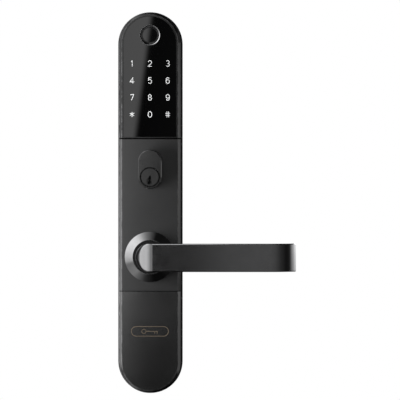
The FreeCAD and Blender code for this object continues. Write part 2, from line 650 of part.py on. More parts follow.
def middle_plate():
    """The cover that the lever and the key cylinder come through."""
    plate = covers(LOWER_SEAM_Z + LOWER_SEAM / 2, KEYPAD_SEAM_Z - KEYPAD_SEAM / 2)
    flange = BUSH_RADIUS + BUSH_FLANGE + SLIP
    holes = discs(COVER_SHANK, MIDDLE_SCREWS, DECK_FRONT, DECK_FRONT + COVER_BITE + SLIP)
    holes += discs(SMALL_HEAD + SLIP, ROSE_SCREWS, DECK_FRONT, DECK_FRONT + SMALL_HEAD_HEIGHT + SLIP)
    holes += discs(SMALL_SHANK + SLIP, ROSE_SCREWS, DECK_FRONT, COVER_FRONT)
    holes.append(disc(BUSH_RADIUS, 0, 0, DECK_FRONT, COVER_FRONT))
    holes.append(disc(flange, 0, 0, DECK_FRONT, DECK_FRONT + BUSH_FLANGE_THICKNESS + SLIP))
    holes.append(oval(OVAL_RADIUS + SLIP, DECK_FRONT, COVER_FRONT))
    return cut(plate, *holes)


def middle_plate_screws():
    return screws(COVER_SCREW, MIDDLE_SCREWS, DECK_BACK, DECK_FRONT + COVER_BITE)


def bottom_cover():
    cover = covers(-PLATE_BELOW, LOWER_SEAM_Z - LOWER_SEAM / 2)
    return cut(cover, *discs(COVER_SHANK, LOWER_SCREWS, DECK_FRONT, DECK_FRONT + COVER_BITE + SLIP))


def bottom_cover_screws():
    return screws(COVER_SCREW, LOWER_SCREWS, DECK_BACK, DECK_FRONT + COVER_BITE)


# ---------------------------------------------------------------- control board
def control_board():
    board = block(-BOARD_HALF, BOARD_HALF, BOARD_LOW, BOARD_HIGH, BOARD_BACK, BOARD_FRONT)
    return cut(board, *discs(SMALL_SHANK + SLIP, BOARD_SCREWS, BOARD_BACK, BOARD_FRONT))


def board_screws():
    return screws(SMALL_SCREW, BOARD_SCREWS, BOARD_BACK, BOARD_FRONT + SMALL_BITE)


def header(clearance, back, front):
    half_x, half_z = HEADER_WIDTH / 2 + clearance, HEADER_HEIGHT / 2 + clearance
    return block(-half_x, half_x, HEADER_Z - half_z, HEADER_Z + half_z, back, front)


def board_header():
    """The pin header that joins the two boards through the deck."""
    return header(0.0, BOARD_FRONT, DECK_FRONT)


def board_chips():
    """On the board's back: a processor, the motor's driver beside it and a capacitor below."""
    middle = (BOARD_LOW + BOARD_HIGH) / 2
    left = CHIP_GAP / 2 - PROCESSOR_SIDE
    right = 3 * CHIP_GAP / 2
    low = middle - CHIP_GAP
    chips = (
        (left, middle, PROCESSOR_SIDE, PROCESSOR_SIDE, PROCESSOR_THICKNESS),
        (right, middle, DRIVER_CHIP_WIDTH, DRIVER_CHIP_WIDTH, DRIVER_CHIP_THICKNESS),
        (left, low - 2 * CAPACITOR_WIDTH, CAPACITOR_WIDTH, 2 * CAPACITOR_WIDTH, CAPACITOR_THICKNESS),
    )
    return group(
        block(x, x + width, z, z + height, BOARD_BACK - thickness, BOARD_BACK)
        for x, z, width, height, thickness in chips
    )


def harness_socket():
    """The socket that the cable from the indoor unit plugs into, open downwards."""
    low = BOARD_LOW + SOCKET_EDGE
    high = low + SOCKET_HEIGHT
    back, front, wall = BOARD_BACK - SOCKET_DEPTH, BOARD_BACK, SOCKET_WALL
    half = SOCKET_HALF - wall
    shell = block(-SOCKET_HALF, SOCKET_HALF, low, high, back, front)
    return shell.cut(block(-half, half, low, high - wall, back + wall, front - wall))


def buzzer():
    x, z = BOARD_HALF - BUZZER_MARGIN, BOARD_LOW + BUZZER_RISE
    back = BOARD_BACK - BUZZER_HEIGHT
    can = disc(BUZZER_RADIUS, x, z, back, BOARD_BACK)
    return can.cut(disc(BUZZER_HOLE, x, z, back, back + BUZZER_HOLE))


# ---------------------------------------------------------------- rose and lever
def rose():
    edge = COVER_FRONT + ROSE_EDGE
    front = COVER_FRONT + ROSE_HEIGHT
    rim = disc(ROSE_RADIUS, 0, 0, COVER_FRONT, edge)
    body = join(rim, cone(ROSE_RADIUS, ROSE_TOP_RADIUS, 0, 0, edge, front))
    holes = discs(SMALL_SHANK, ROSE_SCREWS, COVER_FRONT, COVER_FRONT + SMALL_BITE + SLIP)
    recess = disc(ROSE_BORE, 0, 0, COVER_FRONT + ROSE_WEB, front)
    return cut(body, recess, disc(JOURNAL_RADIUS + AIR, 0, 0, COVER_FRONT, front), *holes)


def rose_screws():
    """Screws from behind the middle plate, with their heads sunk in it."""
    return screws(SMALL_SCREW, ROSE_SCREWS, DECK_FRONT + SMALL_HEAD_HEIGHT, COVER_FRONT + SMALL_BITE)


def lever_bush():
    bore = JOURNAL_RADIUS + RUNNING
    tube = ring(BUSH_RADIUS, bore, 0, 0, BUSH_BOSS_BACK, COVER_FRONT - SLIP)
    flange = ring(BUSH_RADIUS + BUSH_FLANGE, bore, 0, 0, DECK_FRONT, DECK_FRONT + BUSH_FLANGE_THICKNESS)
    return join(tube, flange)


def thrust_washer():
    return ring(BUSH_BOSS_RADIUS, JOURNAL_RADIUS + SLIP, 0, 0, SLEEVE_FRONT + SLIP, BUSH_BOSS_BACK)


def follower_washer():
    return ring(HUB_RADIUS - WASHER_EDGE, SPINDLE_CORNER + 2 * AIR, 0, 0, BACK_PLATE_FRONT, HUB_BACK - SLIP)


def lever_plan():
    """The lever seen from above: elbow, straight bar and the tip's curve back to the door."""
    low = -LEVER_HEIGHT / 2
    side = LEVER_HEIGHT / 2 + ELBOW_OVERSHOOT
    inside = LEVER_PROJECTION - LEVER_THICKNESS
    elbow = LEVER_PROJECTION - LEVER_BEND
    tip_centre = LEVER_PROJECTION - LEVER_TIP_RADIUS

    def bend(x, depth, radius, *degrees):
        """An arc about (x, depth) through three angles, taken from +X towards the front."""
        angles = [math.radians(a) for a in degrees]
        points = [at(x + radius * math.cos(a), depth + radius * math.sin(a), low) for a in angles]
        return Part.Arc(*points).toShape()

    outer, inner = LEVER_TIP_RADIUS, LEVER_TIP_RADIUS - LEVER_THICKNESS
    elbow_x = LEVER_BEND - side
    throat_x = side + LEVER_INNER_BEND
    throat = inside - LEVER_INNER_BEND
    slope = 90.0 - LEVER_TIP_ANGLE
    half_slope = 90.0 - LEVER_TIP_ANGLE / 2
    tip_front = bend(LEVER_STRAIGHT, tip_centre, outer, 90, half_slope, slope)
    tip_back = bend(LEVER_STRAIGHT, tip_centre, inner, slope, half_slope, 90)
    edges = [
        Part.makeLine(at(-side, NECK_BACK, low), at(-side, elbow, low)),
        bend(elbow_x, elbow, LEVER_BEND, 180, 135, 90),
        Part.makeLine(at(elbow_x, LEVER_PROJECTION, low), at(LEVER_STRAIGHT, LEVER_PROJECTION, low)),
        tip_front,
        Part.makeLine(tip_front.Vertexes[1].Point, tip_back.Vertexes[0].Point),
        tip_back,
        Part.makeLine(at(LEVER_STRAIGHT, inside, low), at(throat_x, inside, low)),
        bend(throat_x, throat, LEVER_INNER_BEND, 90, 135, 180),
        Part.makeLine(at(side, throat, low), at(side, NECK_BACK, low)),
        Part.makeLine(at(side, NECK_BACK, low), at(-side, NECK_BACK, low)),
    ]
    return Part.Wire(edges)


def lever_bar():
    """The plan carried up to the bar's height, then rounded to the neck left of the axis.

    The elbow's sweep and the neck's cylinder meet in a curved edge, which makes the elbow one doubly
    curved form. Its fillet starts with the radius of the bar's edges and grows to the elbow's own at the
    lever's side. It is made on the upper half of the elbow and mirrored.
    """
    neck = LEVER_HEIGHT / 2
    far = LEVER_STRAIGHT + LEVER_TIP_RADIUS
    front = LEVER_PROJECTION + OVERCUT
    throat = LEVER_PROJECTION - LEVER_THICKNESS - LEVER_INNER_BEND
    envelope = join(
        disc(neck, 0, 0, NECK_BACK - OVERCUT, front),
        block(0, far, -neck - OVERCUT, neck + OVERCUT, throat, front),
    )
    bar = Part.Face(lever_plan()).extrude(Vector(0, 0, LEVER_HEIGHT)).common(envelope)
    elbow_end = LEVER_BEND - neck - ELBOW_OVERSHOOT
    upper = bar.common(block(-far, elbow_end, 0, neck + OVERCUT, 0, front))
    spans = [(edge, edge.BoundBox) for edge in upper.Edges]
    meeting = [edge for edge, box in spans if min(box.XLength, box.YLength, box.ZLength) > neck / 2]
    upper = upper.makeFillet(LEVER_EDGE, ELBOW_ROUND, meeting)
    lower = upper.mirror(Vector(), Vector(0, 0, 1))
    straight = bar.common(block(elbow_end, far + OVERCUT, -neck - OVERCUT, neck + OVERCUT, 0, front))
    mid_depth = LEVER_PROJECTION - LEVER_THICKNESS / 2
    rims = [
        edge
        for edge in straight.Edges
        if math.isclose(abs(edge.CenterOfMass.z), neck, abs_tol=1e-6)
        and (edge.CenterOfMass.x > neck or -edge.CenterOfMass.y > mid_depth)
    ]
    return join(upper, lower, straight.makeFillet(LEVER_EDGE, rims))


def lever_handle():
    """A round neck that turns through an elbow into a flat bar, with its journal and bore."""
    journal = disc(JOURNAL_RADIUS, 0, 0, JOURNAL_BACK, NECK_BACK)
    far = JOURNAL_RADIUS
    flats = [
        block(-far, far, low, high, JOURNAL_BACK, SLEEVE_FRONT + SLIP)
        for low, high in ((-far, -JOURNAL_FLAT), (JOURNAL_FLAT, far))
    ]
    bore = disc(FOLLOWER_SHAFT + RUNNING, 0, 0, JOURNAL_BACK, SPINDLE_DEPTH + FOLLOWER_NOSE + 2 * SLIP)
    pin_holes = rod_x(HUB_PIN_RADIUS, -far, far, HUB_PIN_DEPTH, 0)
    return cut(join(lever_bar(), journal), bore, pin_holes, *flats)


def drive_hub():
    """Turned by the lever: it carries the clutch pin, the spring's peg and the ear that meets the stops."""
    ear_top = OVERCUT - HUB_RADIUS
    ear_back = HUB_FRONT - HUB_EAR_THICKNESS
    peg_z = -SPRING_RADIUS - LUG_OFFSET
    body = join(
        disc(HUB_RADIUS, 0, 0, HUB_BACK, HUB_FRONT),
        disc(HUB_SLEEVE_RADIUS, 0, 0, HUB_FRONT, SLEEVE_FRONT),
        block(-HUB_EAR_HALF, HUB_EAR_HALF, -HUB_EAR_REACH, ear_top, ear_back, HUB_FRONT),
        disc(LUG_RADIUS, SPRING_WIRE + LUG_RADIUS, peg_z, HUB_FRONT, SPRING_BACK + SPRING_WIRE),
    )
    flat = JOURNAL_FLAT + SLIP / 2
    socket = disc(JOURNAL_RADIUS + SLIP / 2, 0, 0, HUB_FRONT, SLEEVE_FRONT)
    socket = socket.common(block(-HUB_RADIUS, HUB_RADIUS, -flat, flat, HUB_FRONT, SLEEVE_FRONT))
    bore = disc(FOLLOWER_RADIUS + RUNNING, 0, 0, HUB_BACK, HUB_FRONT)
    guide = post(CLUTCH_PIN_RADIUS + RUNNING, 0, HUB_MIDDLE, 0, HUB_RADIUS + OVERCUT)
    pins = rod_x(HUB_PIN_RADIUS, -HUB_RADIUS, HUB_RADIUS, HUB_PIN_DEPTH, 0)
    return cut(body, socket, bore, guide, pins)


def hub_pins():
    """Two pins across the hub's sleeve that key it to the lever's journal."""
    inner, outer = FOLLOWER_SHAFT + AIR, HUB_SLEEVE_RADIUS - SLIP
    spans = ((-outer, -inner), (inner, outer))
    return group(rod_x(HUB_PIN_RADIUS, low, high, HUB_PIN_DEPTH, 0) for low, high in spans)


def clutch_pin():
    """Joins the hub to the follower while the shoe holds it in."""
    bottom = FOLLOWER_RADIUS - CLUTCH_PIN_NOTCH
    pin = post(CLUTCH_PIN_RADIUS, 0, HUB_MIDDLE, bottom, PIN_TIP)
    crown = [edge for edge in pin.Edges if math.isclose(edge.BoundBox.ZMin, PIN_TIP, abs_tol=1e-6)]
    return pin.makeFillet(CLUTCH_PIN_CROWN, crown)


def spindle_follower():
    """Turns the spindle: free in the hub until the clutch pin stands in its notch."""
    body = join(
        disc(FOLLOWER_RADIUS, 0, 0, HUB_BACK, HUB_FRONT),
        disc(FOLLOWER_SHAFT, 0, 0, HUB_FRONT, SPINDLE_DEPTH + FOLLOWER_NOSE),
    )
    half = SPINDLE_SQUARE / 2 + RUNNING
    socket = block(-half, half, -half, half, HUB_BACK, SPINDLE_DEPTH + SLIP)
    notch_low = FOLLOWER_RADIUS - CLUTCH_PIN_NOTCH - RUNNING
    notch = post(CLUTCH_PIN_RADIUS + RUNNING, 0, HUB_MIDDLE, notch_low, FOLLOWER_RADIUS + OVERCUT)
    return cut(body, socket, notch)


def spindle():
    half = SPINDLE_SQUARE / 2
    return block(-half, half, -half, half, -SPINDLE_REACH, SPINDLE_DEPTH)


def return_spring():
    """A torsion coil round the bearing boss, one leg on the hub's peg and one on the housing's lug.

    An octagon swept along a helix stands for the round wire.
    """
    rise = SPRING_FRONT - SPRING_BACK
    helix = Part.Wire(Part.makeHelix(rise / SPRING_TURNS, rise, SPRING_RADIUS))
    section = []
    for corner in range(8):
        angle = math.radians(22.5 + 45 * corner)
        out, up = SPRING_WIRE * math.cos(angle), SPRING_WIRE * math.sin(angle)
        section.append(Vector(SPRING_RADIUS + out, 0, up))
    coil = helix.makePipeShell([Part.makePolygon(section + section[:1])], True, True)
    coil.rotate(Vector(0, 0, 0), Vector(1, 0, 0), 90)
    coil.rotate(Vector(0, 0, 0), Vector(0, 1, 0), 90)
    coil.translate(at(0, SPRING_BACK, 0))
    reach = SPRING_RADIUS + LUG_OFFSET + LUG_RADIUS
    hub_leg = post(SPRING_WIRE, 0, SPRING_BACK, -reach, -SPRING_RADIUS)
    housing_leg = post(SPRING_WIRE, 0, SPRING_FRONT, SPRING_RADIUS, reach)
    return join(coil, hub_leg, housing_leg)


# ---------------------------------------------------------------- clutch actuator
def motor_bracket():
    """Holds the motor on the deck and guides the shoe's nut between two rails."""
    plate_back = DECK_BACK - BRACKET_PLATE
    ear = BRACKET_OUTER + BRACKET_EAR
    low = MOTOR_LOW - BRACKET_WALL
    rail = SHOE_BLOCK_HALF + SLIP
    rail_outer = rail + BRACKET_WALL
    rail_low = LEAD_SCREW_LOW - RAIL_BELOW_SCREW
    solids = [
        block(-ear, ear, low, MOTOR_TOP, plate_back, DECK_BACK),
        block(-BRACKET_OUTER, BRACKET_OUTER, low, MOTOR_LOW, MOTOR_BACK, plate_back),
        block(-rail_outer, rail_outer, rail_low, low, plate_back, DECK_BACK),
    ]
    for side in (-1, 1):
        wall = sorted((side * BRACKET_INNER, side * BRACKET_OUTER))
        guide = sorted((side * rail, side * rail_outer))
        solids.append(block(*wall, low, MOTOR_TOP, MOTOR_BACK, plate_back))
        solids.append(block(*guide, rail_low, low, SHOE_BLOCK_FRONT - RAIL_HEIGHT, plate_back))
    holes = discs(SMALL_SHANK + SLIP, BRACKET_SCREWS, plate_back, DECK_BACK)
    holes.append(post(LEAD_SCREW_RADIUS + AIR, 0, SCREW_DEPTH, low, MOTOR_LOW))
    return cut(join(*solids), *holes)


def bracket_screws():
    return screws(SMALL_SCREW, BRACKET_SCREWS, DECK_BACK - BRACKET_PLATE, DECK_BACK + SMALL_BITE)


def clutch_motor():
    """A flat-sided gear motor, its gearbox below and its can above."""
    front = MOTOR_BACK + MOTOR_DEPTH
    gearbox = block(-MOTOR_HALF, MOTOR_HALF, MOTOR_LOW, MOTOR_SPLIT, MOTOR_BACK, front)
    flats = block(-MOTOR_HALF, MOTOR_HALF, MOTOR_SPLIT, MOTOR_TOP, MOTOR_BACK, front)
    can = post(MOTOR_HALF, 0, SCREW_DEPTH, MOTOR_SPLIT, MOTOR_TOP).common(flats)
    output = post(OUTPUT_RADIUS + RUNNING, 0, SCREW_DEPTH, MOTOR_LOW, MOTOR_LOW + OUTPUT_LENGTH + 2 * SLIP)
    return join(gearbox, can).cut(output)


def clutch_screw():
    """The lead screw on the motor's output; its thread is drawn as a plain shank."""
    shoulder = MOTOR_LOW - LEAD_SCREW_GAP
    return join(
        post(LEAD_SCREW_RADIUS, 0, SCREW_DEPTH, LEAD_SCREW_LOW, shoulder),
        post(OUTPUT_RADIUS, 0, SCREW_DEPTH, shoulder, MOTOR_LOW + OUTPUT_LENGTH),
    )


def clutch_shoe():
    """A nut with an arc below it that holds the clutch pin in wherever the lever stands."""
    back, front = HUB_MIDDLE - SHOE_THICKNESS / 2, HUB_MIDDLE + SHOE_THICKNESS / 2
    inner = PIN_TIP + RUNNING
    outer = inner + SHOE_WALL
    reach = 2 * outer
    fan = [(0.0, 0.0)] + [turned(0.0, reach, angle) for angle in (-SHOE_ANGLE, 0.0, SHOE_ANGLE)]
    arc = ring(outer, inner, 0, 0, back, front).common(prism(fan, back, front))
    nut_low = outer - OVERCUT
    nut = block(-SHOE_BLOCK_HALF, SHOE_BLOCK_HALF, nut_low, SHOE_BLOCK_TOP, back, SHOE_BLOCK_FRONT)
    return join(arc, nut).cut(post(LEAD_SCREW_RADIUS + RUNNING, 0, SCREW_DEPTH, nut_low, SHOE_BLOCK_TOP))


# ---------------------------------------------------------------- key cylinder
def clip_groove():
    """Cut into both flanks of the barrel, and not across its crown or below the plug's axis."""
    back, front = CLIP_FRONT - CLIP_THICKNESS - SLIP, CLIP_FRONT + SLIP
    outer = OVAL_RADIUS + OVERCUT
    low = CYLINDER_Z - CLIP_DROP - OVERCUT
    groove = oval(outer, back, front).cut(oval(OVAL_RADIUS - CLIP_GROOVE, back, front))
    crown = block(-CLIP_KEY_HALF, CLIP_KEY_HALF, CYLINDER_Z, OVAL_TOP_Z + outer, back, front)
    belly = block(-outer, outer, CYLINDER_Z - outer, low, back, front)
    return cut(groove, crown, belly)


def cylinder_body():
    """An oval barrel: the flared bore below, the pin chambers above it, and the clip's groove."""
    body = oval(OVAL_RADIUS, -CYLINDER_REACH, CYLINDER_FRONT)
    rim = [edge for edge in body.Edges if math.isclose(edge.BoundBox.YMax, -CYLINDER_FRONT, abs_tol=1e-6)]
    body = body.makeChamfer(CYLINDER_CHAMFER, rim)
    chambers = [post(PIN_RADIUS + RUNNING, 0, depth, CYLINDER_Z, STRIP_LOW) for depth in PIN_DEPTHS]
    half = COVER_STRIP_HALF
    slot = block(-half, half, STRIP_LOW, OVAL_TOP_Z + OVAL_RADIUS, STRIP_BACK, STRIP_FRONT)
    radius = PLUG_RADIUS + RUNNING
    bore = disc(radius, 0, CYLINDER_Z, -CYLINDER_REACH, CYLINDER_FRONT)
    groove_back = CYLINDER_FRONT - PLUG_GROOVE_DEPTH
    flare = cone(radius, radius + PLUG_GROOVE, 0, CYLINDER_Z, groove_back, CYLINDER_FRONT)
    return cut(body, clip_groove(), slot, bore, flare, *chambers)


def chamber_cover():
    """The strip that closes the five chambers."""
    half = COVER_STRIP_HALF - SLIP
    return block(-half, half, STRIP_LOW, STRIP_LOW + COVER_STRIP, STRIP_BACK + SLIP, STRIP_FRONT - SLIP)


def driver_pins():
    return group(post(PIN_RADIUS, 0, depth, DRIVER_LOW, DRIVER_LOW + DRIVER_LENGTH) for depth in PIN_DEPTHS)


def pin_springs():
    """Springs closed up to plain tubes."""
    low = DRIVER_LOW + DRIVER_LENGTH
    outer = PIN_RADIUS - SLIP
    bore = outer - PIN_SPRING_WALL
    return group(
        post(outer, 0, depth, low, STRIP_LOW).cut(post(bore, 0, depth, low, STRIP_LOW))
        for depth in PIN_DEPTHS
    )


def on_plug(profile):
    """A profile drawn from the plug's axis, put in its place."""
    return [(x, CYLINDER_Z + z) for x, z in profile]


def key_plug():
    """The plug, with its keyway and the key's guide, its pin chambers and the cam screw's hole."""
    back, front = -CYLINDER_REACH, CYLINDER_FRONT - PLUG_RECESS
    edge = front - PLUG_EDGE
    plug = disc(PLUG_RADIUS, 0, CYLINDER_Z, back, edge)
    plug = join(plug, cone(PLUG_RADIUS, PLUG_RADIUS - PLUG_EDGE, 0, CYLINDER_Z, edge, front))
    keyway = prism(on_plug(KEYWAY_PROFILE), front - KEYWAY_LENGTH, front)
    guide = prism(on_plug(KEY_GUIDE_PROFILE), front - KEY_GUIDE_DEPTH, front)
    low, high = CYLINDER_Z - OVERCUT, CYLINDER_Z + PLUG_RADIUS
    chambers = [post(PIN_RADIUS + RUNNING, 0, depth, low, high) for depth in PIN_DEPTHS]
    screw_hole = disc(COVER_SHANK, 0, CYLINDER_Z, back, back + CAM_SCREW_BITE + 2 * SLIP)
    return cut(plug, keyway, guide, screw_hole, *chambers)


def key_pins():
    """Pins whose tops stand at the shear line, as they do with the right key in."""
    top = CYLINDER_Z + PLUG_RADIUS - SLIP
    pins = []
    for depth, length in zip(PIN_DEPTHS, KEY_PIN_LENGTHS):
        low = top - length
        nose = Part.makeCone(PIN_RADIUS / 2, PIN_RADIUS, KEY_PIN_NOSE, at(0, depth, low))
        pins.append(join(post(PIN_RADIUS, 0, depth, low + KEY_PIN_NOSE, top), nose))
    return group(pins)


def cylinder_cam():
    back, front = -CYLINDER_REACH - CAM_THICKNESS, -CYLINDER_REACH
    body = join(
        disc(CAM_RADIUS, 0, CYLINDER_Z, back, front),
        block(-CAM_HALF, CAM_HALF, CYLINDER_Z - CAM_REACH, CYLINDER_Z, back, front),
    )
    return body.cut(disc(COVER_SHANK + SLIP, 0, CYLINDER_Z, back, front))


def cam_screw():
    seat = -CYLINDER_REACH - CAM_THICKNESS
    return screw(COVER_SCREW, 0, CYLINDER_Z, seat, CAM_SCREW_BITE - CYLINDER_REACH)


def cylinder_clip():
    """A steel fork pushed over the barrel from above and screwed to the deck's bosses."""
    back = CLIP_FRONT - CLIP_THICKNESS
    low = CYLINDER_Z - CLIP_DROP
    crown = OVAL_TOP_Z + OVAL_RADIUS
    half = OVAL_RADIUS - CLIP_GROOVE + SLIP
    key = CLIP_KEY_HALF + SLIP
    plate = block(-CLIP_HALF, CLIP_HALF, low, crown + CLIP_BRIDGE, back, CLIP_FRONT)
    slot = join(oval(half, back, CLIP_FRONT), block(-half, half, low - half, OVAL_TOP_Z, back, CLIP_FRONT))
    relief = block(-key, key, OVAL_TOP_Z, crown + SLIP, back, CLIP_FRONT)
    return cut(plate, slot, relief, *discs(SMALL_SHANK + SLIP, CLIP_SCREWS, back, CLIP_FRONT))


def clip_screws():
    return screws(SMALL_SCREW, CLIP_SCREWS, CLIP_FRONT - CLIP_THICKNESS, CLIP_FRONT + SMALL_BITE)


SUBPARTS = (
    door_gasket, base_housing, back_plate, back_plate_screws, through_bolt_posts, post_screws,
    cable_grommet, keypad_bezel, bezel_screws, keypad_glass, glass_seal, keypad_board, light_box,
    key_leds, sensor_ring, sensor_disc, sensor_module, middle_plate, middle_plate_screws,
    bottom_cover, bottom_cover_screws, control_board, board_screws, board_header, board_chips,
    harness_socket, buzzer, rose, rose_screws, lever_bush, thrust_washer, follower_washer,
    lever_handle, drive_hub, hub_pins, clutch_pin, spindle_follower, spindle, return_spring,
    motor_bracket, bracket_screws, clutch_motor, clutch_screw, clutch_shoe, cylinder_body,
    chamber_cover, driver_pins, pin_springs, key_plug, key_pins, cylinder_cam, cam_screw,
    cylinder_clip, clip_screws,
)


def main():
    os.makedirs("parts", exist_ok=True)
    for subpart in SUBPARTS:
        shape = subpart()
        shape.exportStep(f"parts/{subpart.__name__}.step")
        print(f"{subpart.__name__}: {len(shape.Solids)} solids, {shape.Volume / 1000:.2f} cm3")


if __name__ == "__main__":
    main()
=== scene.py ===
"""Dresses the keypad smart lock: paint, plate, glass and metal, the keypad's figures and a soft studio.

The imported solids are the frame. Each sub-assembly below is a class: its fields are its sizes in metres, and
its methods make the meshes that the solids leave out and give every node its finish. +Z is up, the lock
faces -Y and the spindle's axis runs through the origin.
"""
import logging
import math
from collections.abc import Callable
from dataclasses import dataclass, field
from enum import Enum

import bpy
import numpy as np
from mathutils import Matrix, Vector

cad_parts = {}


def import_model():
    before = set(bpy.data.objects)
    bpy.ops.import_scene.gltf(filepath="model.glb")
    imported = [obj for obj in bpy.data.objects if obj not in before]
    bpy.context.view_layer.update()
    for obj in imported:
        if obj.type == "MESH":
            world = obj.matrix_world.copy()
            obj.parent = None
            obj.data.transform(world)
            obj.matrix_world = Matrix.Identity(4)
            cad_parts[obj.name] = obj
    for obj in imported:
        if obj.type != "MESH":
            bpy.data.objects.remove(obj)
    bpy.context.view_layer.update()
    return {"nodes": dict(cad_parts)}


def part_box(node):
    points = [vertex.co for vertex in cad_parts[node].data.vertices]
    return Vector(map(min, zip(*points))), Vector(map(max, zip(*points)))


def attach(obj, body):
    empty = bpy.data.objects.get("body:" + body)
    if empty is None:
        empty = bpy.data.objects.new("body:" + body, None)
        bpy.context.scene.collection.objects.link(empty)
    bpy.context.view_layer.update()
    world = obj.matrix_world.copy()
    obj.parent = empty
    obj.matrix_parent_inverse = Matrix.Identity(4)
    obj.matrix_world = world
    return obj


LOG = logging.getLogger("keypad_lock")
MILLIMETRE = 0.001
ARC_POINTS = 33  # on an oval or a part of one
MARK_END_POINTS = 25  # on a round end of the mark's outline
RIBBON_POINTS = 56  # along a curved stroke of print
MOST_CORNERS = 8  # a stroke with more points than this is a curved one
SHARPEST_CORNER = 0.45  # least cosine of half a corner's turn that a ribbon is stretched for
SHADE_EDGE = 0.05 * MILLIMETRE  # over which bare metal gives way to the black of painted shade
FILM_WIDTH = 36.0  # of the camera, in millimetres
BRIGHTEST = 5.0  # brightness that white stands for in the world's ramps

Pair = tuple[float, float]
Triple = tuple[float, float, float]
Colour = Triple
# Black of painted shade, laid on metal in a groove and by a gap where they look dark.
SHADE_BLACK: Colour = (0.002, 0.002, 0.002)
# Pale metal of rubbed edges: partly wear, partly a painted highlight along the covers' chamfer edges.
WEAR_AND_HIGHLIGHT_METAL: Colour = (0.42, 0.42, 0.43)


class Body(Enum):
    """The bodies of the lock that a new piece can ride on."""

    ESCUTCHEON = "escutcheon"


# ------------------------------------------------------------------ shader maths
def operator(operation: str, swapped: bool = False) -> Callable[["Value", "Value | float"], "Value"]:
    """An operator of Value, as one Math node.

    Args:
        operation: The node's operation.
        swapped: Whether the other number comes first.

    Returns:
        The method.
    """

    def method(value: "Value", other: "Value | float") -> "Value":
        """The result for this value and the other number."""
        return value.graph.maths(operation, *((other, value) if swapped else (value, other)))

    return method


class Value:
    """A number on a socket of a node tree, with the operators that the finishes use.

    Args:
        graph: The node tree's builder.
        socket: The output socket that carries the number.
    """

    def __init__(self, graph: "Graph", socket: bpy.types.NodeSocket) -> None:
        """Keeps the builder and the socket."""
        self.graph = graph
        self.socket = socket

    __add__, __radd__ = operator("ADD"), operator("ADD", swapped=True)
    __sub__, __rsub__ = operator("SUBTRACT"), operator("SUBTRACT", swapped=True)
    __mul__, __rmul__ = operator("MULTIPLY"), operator("MULTIPLY", swapped=True)
    __truediv__ = operator("DIVIDE")

    def __neg__(self) -> "Value":
        """This with its sign changed."""
        return self.graph.maths("MULTIPLY", self, -1.0)

    def __abs__(self) -> "Value":
        """This without its sign."""
        return self.graph.maths("ABSOLUTE", self)


@dataclass(frozen=True)
class Lumps:
    """The size and fineness of a soft noise.

    Attributes:
        size: Length of one lump in metres.
        detail: Octaves.
        fineness: Weight of the finer octaves.
    """

    size: float
    detail: float = 2.0
    fineness: float = 0.5


